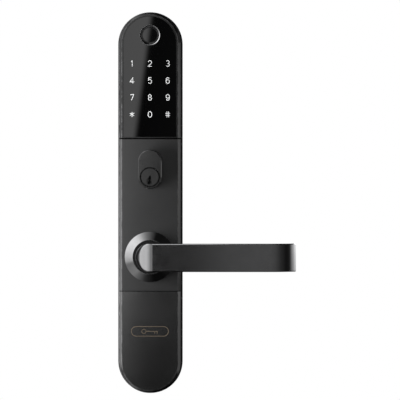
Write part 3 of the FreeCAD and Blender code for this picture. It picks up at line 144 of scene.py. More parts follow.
class Graph:
    """The node tree of one material or of the world.

    Args:
        tree: The tree, which is emptied.
    """

    def __init__(self, tree: bpy.types.NodeTree) -> None:
        """Empties the tree."""
        self.tree = tree
        tree.nodes.clear()

    def node(
        self,
        kind: str,
        settings: dict[str, object] | None = None,
        inputs: dict[str | int, object] | None = None,
        output: str | int = 0,
    ) -> Value:
        """Adds one node.

        Args:
            kind: The node's type.
            settings: Its own settings, set before anything else. "stops" are a ramp's (place, value) pairs.
            inputs: A value or a link for each named or numbered socket.
            output: The output socket that is wanted.

        Returns:
            The output socket, wrapped.
        """
        node = self.tree.nodes.new(kind)
        for name, value in (settings or {}).items():
            if name == "stops":
                self._stops(node.color_ramp, value)
            else:
                setattr(node, name, value)
        for name, value in (inputs or {}).items():
            if isinstance(value, Value):
                self.tree.links.new(value.socket, node.inputs[name])
            else:
                node.inputs[name].default_value = value
        return Value(self, node.outputs[output]) if node.outputs else None

    @staticmethod
    def _stops(ramp: bpy.types.ColorRamp, stops: list[Pair]) -> None:
        """Sets a ramp's stops to greys.

        Args:
            ramp: The ramp, with its two first stops.
            stops: (place from 0 to 1, value) pairs in rising order.
        """
        while len(ramp.elements) < len(stops):
            ramp.elements.new(0.5)
        for element, (place, value) in zip(ramp.elements, stops):
            element.position = place
            element.color = (value, value, value, 1.0)

    def maths(self, operation: str, *values: "Value | float", clamp: bool = False) -> Value:
        """One Math node.

        Args:
            operation: The node's operation.
            values: Its inputs in order.
            clamp: Whether the result is kept between 0 and 1.

        Returns:
            The result.
        """
        settings = {"operation": operation, "use_clamp": clamp}
        return self.node("ShaderNodeMath", settings, dict(enumerate(values)))

    def smooth(self, value: Value, low: float, high: float, first: float = 0.0, last: float = 1.0) -> Value:
        """A smooth step: first below low, last above high.

        Args:
            value: What is tested.
            low: Where the step starts.
            high: Where it ends.
            first: The result before it.
            last: The result after it.

        Returns:
            The stepped value.
        """
        settings = {"interpolation_type": "SMOOTHSTEP"}
        sockets = {"Value": value, "From Min": low, "From Max": high, "To Min": first, "To Max": last}
        return self.node("ShaderNodeMapRange", settings, sockets)

    def mix(self, factor: "Value | float", first: object, second: object) -> Value:
        """Two colours mixed.

        Args:
            factor: Share of the second.
            first: A colour or a link.
            second: A colour or a link.

        Returns:
            The mixed colour.
        """
        sockets = {0: factor, 6: self.rgba(first), 7: self.rgba(second)}
        return self.node("ShaderNodeMix", {"data_type": "RGBA"}, sockets, output=2)

    @staticmethod
    def rgba(colour: object) -> object:
        """A colour with its alpha, or the link as it is."""
        return colour if isinstance(colour, Value) else (*colour, 1.0)

    def place(self) -> Value:
        """The Object coordinates: metres in the lock's own frame."""
        return self.node("ShaderNodeTexCoord", output="Object")

    def stretched(self, vector: Value, scale: Triple, turn: float = 0.0) -> Value:
        """Coordinates scaled and turned about Y.

        Args:
            vector: The coordinates.
            scale: Factor along each axis.
            turn: Turn about Y in radians.

        Returns:
            The new coordinates.
        """
        sockets = {"Vector": vector, "Rotation": (0, turn, 0), "Scale": scale}
        return self.node("ShaderNodeMapping", None, sockets)

    def parts(self, vector: Value) -> tuple[Value, Value, Value]:
        """The three numbers of a vector."""
        first = self.node("ShaderNodeSeparateXYZ", None, {0: vector})
        outputs = first.socket.node.outputs
        return tuple(Value(self, outputs[index]) for index in range(3))

    def noise(self, vector: Value, lumps: Lumps) -> Value:
        """Soft noise between about 0.2 and 0.8.

        Args:
            vector: The coordinates.
            lumps: Its size and fineness.

        Returns:
            The noise.
        """
        sockets = {"Vector": vector, "Scale": 1.0 / lumps.size, "Detail": lumps.detail}
        sockets["Roughness"] = lumps.fineness
        return self.node("ShaderNodeTexNoise", {"noise_dimensions": "3D"}, sockets)

    def bump(self, height: Value, strength: float, depth: float, under: Value | None = None) -> Value:
        """A Bump node.

        Args:
            height: The height pattern, 0 to 1.
            strength: Share of the bump that is used.
            depth: Height in metres of a pattern value of 1.
            under: Another bump that this one lies on.

        Returns:
            The bent normal.
        """
        sockets = {"Height": height, "Strength": strength, "Distance": depth}
        if under is not None:
            sockets["Normal"] = under
        return self.node("ShaderNodeBump", None, sockets)

    def stadium(self, vector: Value, low: float, high: float) -> Value:
        """Distance from the escutcheon's middle line.

        The line runs up the Z axis from low to high. A point's distance from it is the root of x squared
        plus the square of how far z lies beyond the line's nearer end.

        Args:
            vector: The coordinates.
            low: Height of the line's lower end.
            high: Height of its upper end.

        Returns:
            The distance in metres.
        """
        x, _, z = self.parts(vector)
        beyond = z - self.maths("MINIMUM", self.maths("MAXIMUM", z, low), high)
        return self.maths("SQRT", x * x + beyond * beyond)


def new_material(name: str) -> tuple[bpy.types.Material, Graph]:
    """A material with an empty tree.

    Args:
        name: The material's name.

    Returns:
        The material and its tree's builder.
    """
    material = bpy.data.materials.new(name)
    material.use_nodes = True
    return material, Graph(material.node_tree)


# ------------------------------------------------------------------ finishes
PAINT_CLOUD = Lumps(0.03, 3.0)
PAINT_SPRAY = Lumps(0.0011, 2.0, 0.6)
PAINT_FLECK = Lumps(0.00035, 1.0)
EDGE_PATCHES = Lumps(0.006, 4.0, 0.65)
FINGER_PATCH = Lumps(0.013)
FINGER_STREAK = Lumps(0.0022, 3.0, 0.7)
GLASS_SPECK = Lumps(0.0006, 1.0)
TARNISH_PATCH = Lumps(0.012, 4.0, 0.6)
DUST_CLOUD = Lumps(0.01, 3.0)
TRACK_CELL = Lumps(0.009, 0.0)
MASK_CLOUD = Lumps(0.004)
PRINT_CLOUD = Lumps(0.0022)
PRINT_GRAIN = Lumps(0.0003, 1.0)
FLOOR_CLOUD = Lumps(0.05, 3.0)
ALONG_BRUSHING = 0.03  # what coordinates are squeezed to along brushed lines


def toned(colour: Colour, share: float, lift: float = 0.0) -> Colour:
    """A share of a colour, with the same lift added to its three channels."""
    return tuple(share * channel + lift for channel in colour)


@dataclass(frozen=True)
class Finish:
    """The look of a surface.

    Attributes:
        name: The material's name.
    """

    name: str

    def sockets(self, graph: Graph, place: Value) -> dict[str, object]:
        """The shader's values and links.

        Args:
            graph: The material's builder.
            place: The Object coordinates.

        Returns:
            A value or a link for each socket's name.
        """
        raise NotImplementedError

    def material(self) -> bpy.types.Material:
        """Builds the material.

        Returns:
            The material.
        """
        material, graph = new_material(self.name)
        shader = graph.node("ShaderNodeBsdfPrincipled", None, self.sockets(graph, graph.place()))
        graph.node("ShaderNodeOutputMaterial", None, {"Surface": shader})
        return material


@dataclass(frozen=True)
class SatinPaint(Finish):
    """Satin black paint on cast metal: a fine sprayed texture, and bright rubbed edges that are partly
    painted highlights of rounded edges.

    Attributes:
        colour: Colour of the paint.
        roughness: Roughness of the paint.
        edges: Distances from the plate's middle line of the rubbed edges, which carry painted highlights too.
        line: Heights of the middle line's two ends.
        wear_and_highlight: How much the rubbed edges and their painted highlights show.
        grain: Depth of the sprayed texture in metres.
        shine: Specular level of the paint, 0.5 being plain plastic.
        ior: Index of refraction of its clear top.
        wear_and_highlight_width: How far a rubbed edge and its painted highlight reach to each side, in
            metres.
    """

    colour: Colour
    roughness: float
    edges: tuple[float, ...] = ()
    line: Pair = (0.0, 0.0)
    wear_and_highlight: float = 0.25
    grain: float = 4e-6
    shine: float = 0.5
    ior: float = 1.5
    wear_and_highlight_width: float = 0.00035

    def sockets(self, graph: Graph, place: Value) -> dict[str, object]:
        """Clouded paint with fine flecks, worn to pale metal in patches along its rubbed edges, which also
        paints highlights there.

        Args:
            graph: The material's builder.
            place: The Object coordinates.

        Returns:
            The shader's values and links.
        """
        cloud = graph.noise(place, PAINT_CLOUD)
        spray = graph.noise(place, PAINT_SPRAY)
        fleck = graph.noise(place, PAINT_FLECK)
        base = graph.mix(cloud * 0.35, self.colour, toned(self.colour, 1.5, 0.002))
        rough = self.roughness + (cloud - 0.5) * 0.03 + (fleck - 0.5) * 0.03
        sockets = {"Specular IOR Level": self.shine, "IOR": self.ior}
        if self.edges:
            out = graph.stadium(place, *self.line)
            # Pale metal in patches along the chamfer edges: partly wear, partly a painted highlight of the
            # rounded edges.
            near = [1.0 - graph.smooth(abs(out - radius), 0.0, self.wear_and_highlight_width) for radius in self.edges]
            edge = graph.maths("MAXIMUM", near[0], near[-1])
            wear_and_highlight_mask = edge * graph.smooth(graph.noise(place, EDGE_PATCHES), 0.36, 0.6) * self.wear_and_highlight
            base = graph.mix(wear_and_highlight_mask, base, WEAR_AND_HIGHLIGHT_METAL)
            sockets["Metallic"] = wear_and_highlight_mask
        normal = graph.bump(fleck, 0.4, self.grain * 0.4, graph.bump(spray, 0.5, self.grain))
        return {"Base Color": base, "Roughness": rough, "Normal": normal, **sockets}


@dataclass(frozen=True)
class BlackGlass(Finish):
    """Back-printed black glass with faint finger marks.

    Attributes:
        colour: Colour of the print behind the glass.
        roughness: Roughness of clean glass.
        smear: How much rougher a finger mark is.
    """

    colour: Colour = (0.0005, 0.0005, 0.0006)
    roughness: float = 0.015
    smear: float = 0.015

    def sockets(self, graph: Graph, place: Value) -> dict[str, object]:
        """Black glass with a few specks, a little rougher where a finger has streaked it.

        Args:
            graph: The material's builder.
            place: The Object coordinates.

        Returns:
            The shader's values and links.
        """
        patch = graph.smooth(graph.noise(place, FINGER_PATCH), 0.55, 0.75)
        streak = graph.noise(graph.stretched(place, (1.0, 1.0, 0.35), 0.5), FINGER_STREAK)
        speck = graph.smooth(graph.noise(place, GLASS_SPECK), 0.74, 0.8)
        base = graph.mix(speck * 0.12, self.colour, (0.02, 0.02, 0.02))
        rough = self.roughness + patch * streak * self.smear
        sockets = {"Base Color": base, "Roughness": rough, "Specular IOR Level": 0.75}
        return {**sockets, "Normal": graph.bump(streak, 0.1, 2e-7)}


class Lay(Enum):
    """Which way a metal surface was brushed or turned."""

    ALONG_X = "along_x"
    ROUND_Y = "round_y"
    NONE = "none"


@dataclass(frozen=True)
class Metal(Finish):
    """Plated, turned or brushed metal.

    Attributes:
        colour: Colour of the metal's reflection.
        roughness: Its roughness.
        lay: Direction of the fine lines in it.
        centre: X and Z of the axis that round lines turn about.
        line_size: Width of a line in metres.
        depth: Depth of the lines in metres.
        tarnish: Share by which patches are darker.
        metallic: 1 for bare metal, less under a tinted film.
        bare: Distances from the axis between which the metal is bare, or nothing where all of it is. The
            rest is painted shade: plain black where a groove or a gap looks dark.
    """

    colour: Colour
    roughness: float
    lay: Lay = Lay.NONE
    centre: Pair = (0.0, 0.0)
    line_size: float = 0.00025
    depth: float = 2e-6
    tarnish: float = 0.2
    metallic: float = 1.0
    bare: Pair | None = None

    def from_axis(self, graph: Graph, place: Value) -> Value:
        """Distance from the axis along Y: the root of the squares of x and z less the centre's."""
        x, _, z = graph.parts(place)
        x, z = x - self.centre[0], z - self.centre[1]
        return graph.maths("SQRT", x * x + z * z)

    def lines(self, graph: Graph, place: Value) -> Value:
        """The pattern of fine lines.

        Brushed lines are noise on coordinates squeezed along the brushing. Turned lines are noise on the
        distance from the axis. Plain metal has noise with lumps twice as wide as a line.

        Args:
            graph: The material's builder.
            place: The Object coordinates.

        Returns:
            The pattern, 0 to 1.
        """
        if self.lay is Lay.NONE:
            return graph.noise(place, Lumps(self.line_size * 2, 3.0, 0.6))
        if self.lay is Lay.ALONG_X:
            along = graph.stretched(place, (ALONG_BRUSHING, 1.0, 1.0))
        else:
            rings = {0: self.from_axis(graph, place), 1: graph.parts(place)[1], 2: 0.0}
            along = graph.node("ShaderNodeCombineXYZ", None, rings)
        return graph.noise(along, Lumps(self.line_size, 3.0, 0.6))

    def bare_share(self, graph: Graph, place: Value) -> Value:
        """1 where the metal is bare and 0 where black shade is painted on it, with a fine fade between."""
        inner, outer = self.bare
        out = self.from_axis(graph, place)
        return graph.smooth(out, inner - SHADE_EDGE, inner) * graph.smooth(out, outer + SHADE_EDGE, outer)

    def sockets(self, graph: Graph, place: Value) -> dict[str, object]:
        """Metal with darker patches and fine lines, and painted shade in black outside its bare band.

        Args:
            graph: The material's builder.
            place: The Object coordinates.

        Returns:
            The shader's values and links.
        """
        lines = self.lines(graph, place)
        patch = graph.smooth(graph.noise(place, TARNISH_PATCH), 0.35, 0.7)
        dark = toned(self.colour, 1 - self.tarnish)
        base = graph.mix(patch, dark, self.colour)
        metallic = self.metallic
        if self.bare is not None:
            # Outside the bare band the metal is painted shade: plain black.
            bare = self.bare_share(graph, place)
            base, metallic = graph.mix(bare, SHADE_BLACK, base), bare * self.metallic
        rough = self.roughness + (lines - 0.5) * 0.04 + (1.0 - patch) * 0.02
        return {
            "Base Color": base,
            "Roughness": rough,
            "Metallic": metallic,
            "Normal": graph.bump(lines, 0.4, self.depth),
        }


@dataclass(frozen=True)
class Moulded(Finish):
    """Moulded plastic or rubber with a fine spark texture.

    Attributes:
        colour: Its colour.
        roughness: Its roughness.
        texture: Size of the texture's lumps in metres.
        depth: Their height in metres.
        dust: Share of pale dust where it is thickest.
    """

    colour: Colour
    roughness: float
    texture: float = 0.0005
    depth: float = 1.5e-5
    dust: float = 0.1

    def sockets(self, graph: Graph, place: Value) -> dict[str, object]:
        """Even lumps all over, and pale dust in soft clouds.

        Args:
            graph: The material's builder.
            place: The Object coordinates.

        Returns:
            The shader's values and links.
        """
        lumps = graph.noise(place, Lumps(self.texture))
        cloud = graph.smooth(graph.noise(place, DUST_CLOUD), 0.4, 0.7)
        pale = toned(self.colour, 0.7, 0.12)
        base = graph.mix(cloud * self.dust, self.colour, pale)
        rough = self.roughness + (lumps - 0.5) * 0.12
        return {"Base Color": base, "Roughness": rough, "Normal": graph.bump(lumps, 0.6, self.depth)}


@dataclass(frozen=True)
class CircuitBoard(Finish):
    """Solder mask over copper tracks and bare pads.

    Attributes:
        mask: Colour of the mask.
        copper: Colour of the mask over copper.
        pitch: Distance between tracks in metres.
    """

    mask: Colour = (0.008, 0.05, 0.022)
    copper: Colour = (0.02, 0.115, 0.045)
    pitch: float = 0.0016

    def sockets(self, graph: Graph, place: Value) -> dict[str, object]:
        """Green mask over copper tracks, with bare pads.

        A track is where the sine of the way along x or z is high, and coarse noise picks which of the two.
        A pad is the middle of a fine cell.

        Args:
            graph: The material's builder.
            place: The Object coordinates.

        Returns:
            The shader's values and links.
        """
        x, _, z = graph.parts(place)
        pick = graph.maths("GREATER_THAN", graph.noise(place, TRACK_CELL), 0.5)
        along = pick * x + (1.0 - pick) * z
        wave = graph.maths("SINE", along * (2 * math.pi / self.pitch))
        track = graph.smooth(wave, 0.1, 0.3)
        cells = {"Vector": place, "Scale": 1.0 / (2 * self.pitch)}
        pads = 1.0 - graph.smooth(graph.node("ShaderNodeTexVoronoi", None, cells), 0.12, 0.16)
        base = graph.mix(pads, graph.mix(track, self.mask, self.copper), (0.62, 0.6, 0.52))
        return {
            "Base Color": base,
            "Roughness": 0.32 + graph.noise(place, MASK_CLOUD) * 0.1,
            "Metallic": pads * 0.9,
            "Normal": graph.bump(graph.maths("MAXIMUM", track, pads), 0.5, 3e-5),
        }


@dataclass(frozen=True)
class LitFigure(Finish):
    """A keypad figure: pale translucent print, lit from behind.

    Attributes:
        colour: Its colour in the studio's light.
        glow: Strength of the light behind it.
    """

    colour: Colour
    glow: float = 0.0

    def sockets(self, graph: Graph, place: Value) -> dict[str, object]:
        """Slightly uneven print that glows in its own colour.

        Args:
            graph: The material's builder.
            place: The Object coordinates.

        Returns:
            The shader's values and links.
        """
        uneven = graph.noise(place, PRINT_CLOUD)
        base = graph.mix(uneven * 0.5, self.colour, toned(self.colour, 0.88))
        return {
            "Base Color": base,
            "Roughness": 0.3 + uneven * 0.1,
            "Emission Color": base,
            "Emission Strength": self.glow,
            "Normal": graph.bump(graph.noise(place, PRINT_GRAIN), 0.3, 2e-6),
        }


# ------------------------------------------------------------------ meshes
def grid_faces(rows: int, columns: int, wrap_rows: bool, wrap_columns: bool) -> np.ndarray:
    """Quads of a grid of points numbered row by row.

    A face joins the point at its row and column with the ones a row on, a row and a column on, and a
    column on. A number past the end starts again at 0 where that direction wraps.

    Args:
        rows: Points in the first direction.
        columns: Points in the second.
        wrap_rows: Whether the last row joins the first.
        wrap_columns: Whether the last column joins the first.

    Returns:
        An array of four indices a face.
    """
    row = np.arange(rows if wrap_rows else rows - 1)[:, None]
    column = np.arange(columns if wrap_columns else columns - 1)[None, :]
    row, column = np.broadcast_arrays(row, column)
    next_row, next_column = (row + 1) % rows, (column + 1) % columns
    corners = [(row, column), (next_row, column), (next_row, next_column), (row, next_column)]
    return np.stack([(down * columns + across).ravel() for down, across in corners], axis=1)


def mesh_object(name: str, points: np.ndarray, faces: list[list[int]]) -> bpy.types.Object:
    """Puts points and faces into a new object at the origin.

    Args:
        name: The object's name.
        points: An array of three coordinates a point, in metres.
        faces: The indices of each face's points.

    Returns:
        The object, linked to the scene.
    """
    mesh = bpy.data.meshes.new(name)
    mesh.from_pydata(points.tolist(), [], faces)
    mesh.validate()
    mesh.update()
    thing = bpy.data.objects.new(name, mesh)
    bpy.context.scene.collection.objects.link(thing)
    return thing


def evened(path: np.ndarray, count: int, closed: bool) -> np.ndarray:
    """Points at even steps along a path.

    The path's running length is the sum of its steps' lengths, and each new point is found at its own
    share of the whole by straight interpolation.

    Args:
        path: An array of two coordinates a point.
        count: How many points are wanted.
        closed: Whether the path returns to its start.

    Returns:
        The new points.
    """
    if closed:
        path = np.vstack([path, path[:1]])
    steps = np.hypot(*np.diff(path, axis=0).T)
    run = np.concatenate([[0.0], np.cumsum(steps)])
    want = np.linspace(0.0, run[-1], count, endpoint=not closed)
    return np.stack([np.interp(want, run, path[:, 0]), np.interp(want, run, path[:, 1])], axis=1)


@dataclass(frozen=True)
class Stroke:
    """One stroke of a printed figure, in units of the figure's height.

    Attributes:
        path: Its middle line, as (across, up) points.
        closed: Whether the line returns to its start.
    """

    path: np.ndarray
    closed: bool = False


def straight(*points: Pair) -> Stroke:
    """A stroke through points, joined by straight runs."""
    return Stroke(np.array(points, float))


def joined(*parts: object) -> Stroke:
    """A stroke through arrays and lists of points, one after another."""
    return Stroke(np.vstack(parts))


def curved(centre: Pair, size: Pair, start: float, end: float, count: int = ARC_POINTS) -> np.ndarray:
    """Points on an oval's arc: the centre plus the half sizes times the angle's cosine and sine.

    Args:
        centre: The oval's centre.
        size: Its half width and half height.
        start: First angle in degrees, from the right and upwards.
        end: Last angle.
        count: How many points are wanted.

    Returns:
        The points.
    """
    angle = np.radians(np.linspace(start, end, count))
    return np.stack([centre[0] + size[0] * np.cos(angle), centre[1] + size[1] * np.sin(angle)], axis=1)


def ring(centre: Pair, size: Pair) -> Stroke:
    """A closed oval stroke."""
    return Stroke(curved(centre, size, 0, 360)[:-1], closed=True)


def figure_strokes() -> dict[str, list[Stroke]]:
    """The strokes of each keypad figure, drawn in a box one unit high.

    Returns:
        For each figure's name, its strokes.
    """
    hook = curved((0.0, 0.02), (0.29, 0.48), 38, 200)
    spokes = curved((0.0, 0.0), (0.44, 0.44), 90, -30, 3)
    return {
        "1": [straight((-0.17, 0.31), (0.03, 0.5), (0.03, -0.5))],
        "2": [joined(curved((0.0, 0.2), (0.29, 0.3), 165, -25), [(-0.3, -0.5), (0.31, -0.5)])],
        "3": [
            joined(curved((-0.01, 0.25), (0.26, 0.25), 150, -90), [(-0.1, 0.0)]),
            joined([(-0.1, 0.0)], curved((-0.01, -0.25), (0.29, 0.25), 90, -150)),
        ],
        "4": [straight((0.37, -0.24), (-0.35, -0.24), (0.14, 0.5), (0.14, -0.5))],
        "5": [
            joined([(0.25, 0.5), (-0.2, 0.5), (-0.25, 0.04)], curved((0.0, -0.17), (0.29, 0.33), 130, -145))
        ],
        "6": [ring((0.0, -0.18), (0.29, 0.32)), Stroke(hook)],
        "7": [straight((-0.29, 0.5), (0.29, 0.5), (-0.1, -0.5))],
        "8": [ring((0.0, 0.26), (0.24, 0.24)), ring((0.0, -0.24), (0.28, 0.26))],
        "9": [ring((0.0, 0.18), (0.29, 0.32)), Stroke(-hook)],
        "star": [straight(-spoke, spoke) for spoke in spokes],
        "0": [ring((0.0, 0.0), (0.32, 0.5))],
        "hash": [
            straight((-0.14, -0.5), (-0.14, 0.5)),
            straight((0.14, -0.5), (0.14, 0.5)),
            straight((-0.39, 0.17), (0.39, 0.17)),
            straight((-0.39, -0.17), (0.39, -0.17)),
        ],
    }


@dataclass(frozen=True)
class PrintedLine:
    """A flat ribbon of print with a rounded top, carried along a stroke.

    Attributes:
        width: Its width in metres.
        height: How far it stands off the surface.
        sink: How far it reaches into the surface.
    """

    width: float
    height: float = 2e-5
    sink: float = 2e-5

    def profile(self) -> np.ndarray:
        """The line's section, whose flanks rise to 0.4 of its height and whose flat top is 0.8 of its width.

        Returns:
            Its points as (across, out of the surface).
        """
        half = self.width / 2
        right = [(0.8 * half, self.height), (half, 0.4 * self.height), (half, -self.sink)]
        left = [(-across, out) for across, out in reversed(right)]
        return np.array(left + right)

    def surface(self, path: np.ndarray, closed: bool, front: float) -> tuple[np.ndarray, list[list[int]]]:
        """Carries the section along a path in the XZ plane.

        A point of the surface is the path's point plus its section's first number times the path's
        normal, which is the tangent turned a quarter, stretched at a corner by one over the cosine of
        half the corner's turn. The section's second number is taken off y.

        Args:
            path: Points in metres as (x, z).
            closed: Whether the path returns to its start.
            front: The surface's depth along Y, as a negative y.

        Returns:
            The points and the faces.
        """
        if closed:
            before, after = path - np.roll(path, 1, axis=0), np.roll(path, -1, axis=0) - path
        else:
            step = np.diff(path, axis=0)
            before, after = np.vstack([step[:1], step]), np.vstack([step, step[-1:]])
        before = before / np.hypot(*before.T)[:, None]
        after = after / np.hypot(*after.T)[:, None]
        tangent = before + after
        tangent = tangent / np.hypot(*tangent.T)[:, None]
        normal = np.stack([-tangent[:, 1], tangent[:, 0]], axis=1)
        straighter = (normal * np.stack([-after[:, 1], after[:, 0]], axis=1)).sum(axis=1)
        corner = np.clip(straighter, SHARPEST_CORNER, 1.0)
        section = self.profile()
        reach = section[None, :, 0] / corner[:, None]
        x = path[:, 0, None] + reach * normal[:, 0, None]
        z = path[:, 1, None] + reach * normal[:, 1, None]
        y = np.broadcast_to(front - section[None, :, 1], x.shape)
        points = np.stack([x, y, z], axis=2).reshape(-1, 3)
        faces = grid_faces(len(path), len(section), closed, True).tolist()
        if not closed:
            last = (len(path) - 1) * len(section)
            faces.append(list(range(len(section) - 1, -1, -1)))
            faces.append([last + k for k in range(len(section))])
        return points, faces


def printed(
    name: str,
    strokes: list[Stroke],
    line: PrintedLine,
    centre: Pair,
    scale: float,
    front: float,
) -> bpy.types.Object:
    """A printed figure on a flat face that looks along -Y.

    Args:
        name: The piece's name.
        strokes: Its strokes, in units of its height.
        line: The ribbon that each stroke is drawn with.
        centre: Its centre as (x, z).
        scale: Its height in metres.
        front: Y of the face it is printed on.

    Returns:
        The figure, as one object.
    """
    points, faces, used = [], [], 0
    for stroke in strokes:
        path = stroke.path * scale + np.array(centre)
        if len(path) > MOST_CORNERS:
            path = evened(path, RIBBON_POINTS, stroke.closed)
        some, quads = line.surface(path, stroke.closed, front)
        points.append(some)
        faces += [[index + used for index in quad] for quad in quads]
        used += len(some)
    return mesh_object(name, np.vstack(points), faces)


# ------------------------------------------------------------------ sub-assemblies
@dataclass
class Dresser:
    """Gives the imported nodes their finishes.

    Attributes:
        nodes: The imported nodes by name.
        finished: The materials made so far, by their finish's name.
    """

    nodes: dict[str, bpy.types.Object]
    finished: dict[str, bpy.types.Material] = field(default_factory=dict)

    def material(self, finish: Finish) -> bpy.types.Material:
        """The finish's material, made once."""
        if finish.name not in self.finished:
            self.finished[finish.name] = finish.material()
        return self.finished[finish.name]

    def dress(self, finish: Finish, *names: str) -> None:
        """Gives nodes one finish.

        Args:
            finish: The finish.
            names: The nodes' names.
        """
        material = self.material(finish)
        for name in names:
            for slot in self.nodes[name].material_slots:
                slot.material = material
            LOG.info("%s: %s", name, finish.name)

    def add(self, piece: bpy.types.Object, finish: Finish, slot: str, body: Body) -> None:
        """Gives a new piece its finish and its body.

        Args:
            piece: The piece.
            finish: The finish.
            slot: The record's material slot; not used.
            body: The body that it rides on.
        """
        piece.data.materials.append(self.material(finish))
        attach(piece, body.value)
        LOG.info("%s: %s, rides on %s", piece.name, finish.name, body.value)


@dataclass
class Escutcheon:
    """The long rounded case: housing, three painted covers and what holds them.

    Attributes:
        dresser: Who gives the finishes.
        paint: Colour of the covers' paint.
        chamfer_width: How far the chamfer comes in from the covers' side.
        mark_height: Height of the lower cover's mark above its lowest point.
        mark_size: Width and height of the mark's outline.
        mark_line: Width of its lines.
    """

    dresser: Dresser
    paint: Colour = (0.0195, 0.0195, 0.0197)
    chamfer_width: float = 0.00225
    mark_height: float = 0.0541
    mark_size: Pair = (0.0325, 0.0084)
    mark_line: float = 0.0005

    def __post_init__(self) -> None:
        """Reads the covers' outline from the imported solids."""
        self.low, self.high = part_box("bottom_cover")
        _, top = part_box("keypad_bezel")
        self.half = self.high.x
        self.line = (self.low.z + self.half, top.z - self.half)
        self.face_radius = self.half - self.chamfer_width

    def satin(self, name: str, share: float, roughness: float, ior: float, wear_and_highlight: float = 0.3) -> SatinPaint:
        """A cover's paint.

        Args:
            name: Its name.
            share: Its colour as a share of the middle cover's.
            roughness: Its mean roughness.
            ior: Index of refraction of its clear top.
            wear_and_highlight: How much its edges are rubbed, with their painted highlights.

        Returns:
            The paint.
        """
        colour, edges = toned(self.paint, share), (self.half, self.face_radius)
        return SatinPaint(name, colour, roughness, edges, self.line, wear_and_highlight, ior=ior)

    def dress(self) -> None:
        """Gives every piece of the case its finish."""
        dress = self.dresser.dress
        coat = (0.008, 0.008, 0.0082)
        housing = SatinPaint("housing_powder_coat", coat, 0.42, grain=1.2e-5, shine=0.0)
        dress(housing, "base_housing")
        dress(self.satin("upper_cover_paint", 1.0, 0.09, 1.6, 0.15), "middle_plate")
        dress(self.satin("lower_cover_paint", 0.12, 0.085, 3.0), "bottom_cover")
        dress(self.satin("bezel_paint", 0.3, 0.09, 1.6), "keypad_bezel")
        rubber = Moulded("gasket_rubber", (0.016, 0.016, 0.017), 0.78, 0.0008, 3e-5, 0.25)
        dress(rubber, "door_gasket", "cable_grommet", "glass_seal")
        plate = Metal("zinc_plate", (0.60, 0.61, 0.63), 0.34, line_size=0.0004, tarnish=0.3)
        dress(plate, "back_plate", "through_bolt_posts", "cylinder_clip")
        screw = Metal("zinc_screw", (0.52, 0.52, 0.54), 0.28, line_size=0.0002, tarnish=0.35)
        screws = ("back_plate_screws", "post_screws", "bezel_screws", "middle_plate_screws", "rose_screws")
        dress(screw, *screws, "bottom_cover_screws", "board_screws", "bracket_screws")
        dress(screw, "cam_screw", "clip_screws")

    def mark(self) -> None:
        """A plain key in a rounded outline, printed on the lower cover in dull bronze.

        The outline is two half circles joined by straight runs. The key is a ring, a stem and two bits, in
        units of the outline's height.
        """
        width, height = self.mark_size
        half, flat = height / 2, (width - height) / 2
        right = curved((flat, 0.0), (half, half), -90, 90, MARK_END_POINTS)
        outline = Stroke(np.vstack([right, -right]) / height, closed=True)
        key = [
            ring((-0.62, 0.0), (0.22, 0.22)),
            straight((-0.4, 0.0), (0.84, 0.0)),
            straight((0.5, 0.0), (0.5, -0.24)),
            straight((0.76, 0.0), (0.76, -0.24)),
        ]
        line, centre = PrintedLine(self.mark_line), (0.0, self.low.z + self.mark_height)
        finish = Metal("mark_bronze", (0.32, 0.255, 0.185), 0.3, line_size=0.0002, metallic=0.8)
        piece = printed("lower_cover_mark", [outline, *key], line, centre, height, self.low.y)
        self.dresser.add(piece, finish, "bronze", Body.ESCUTCHEON)


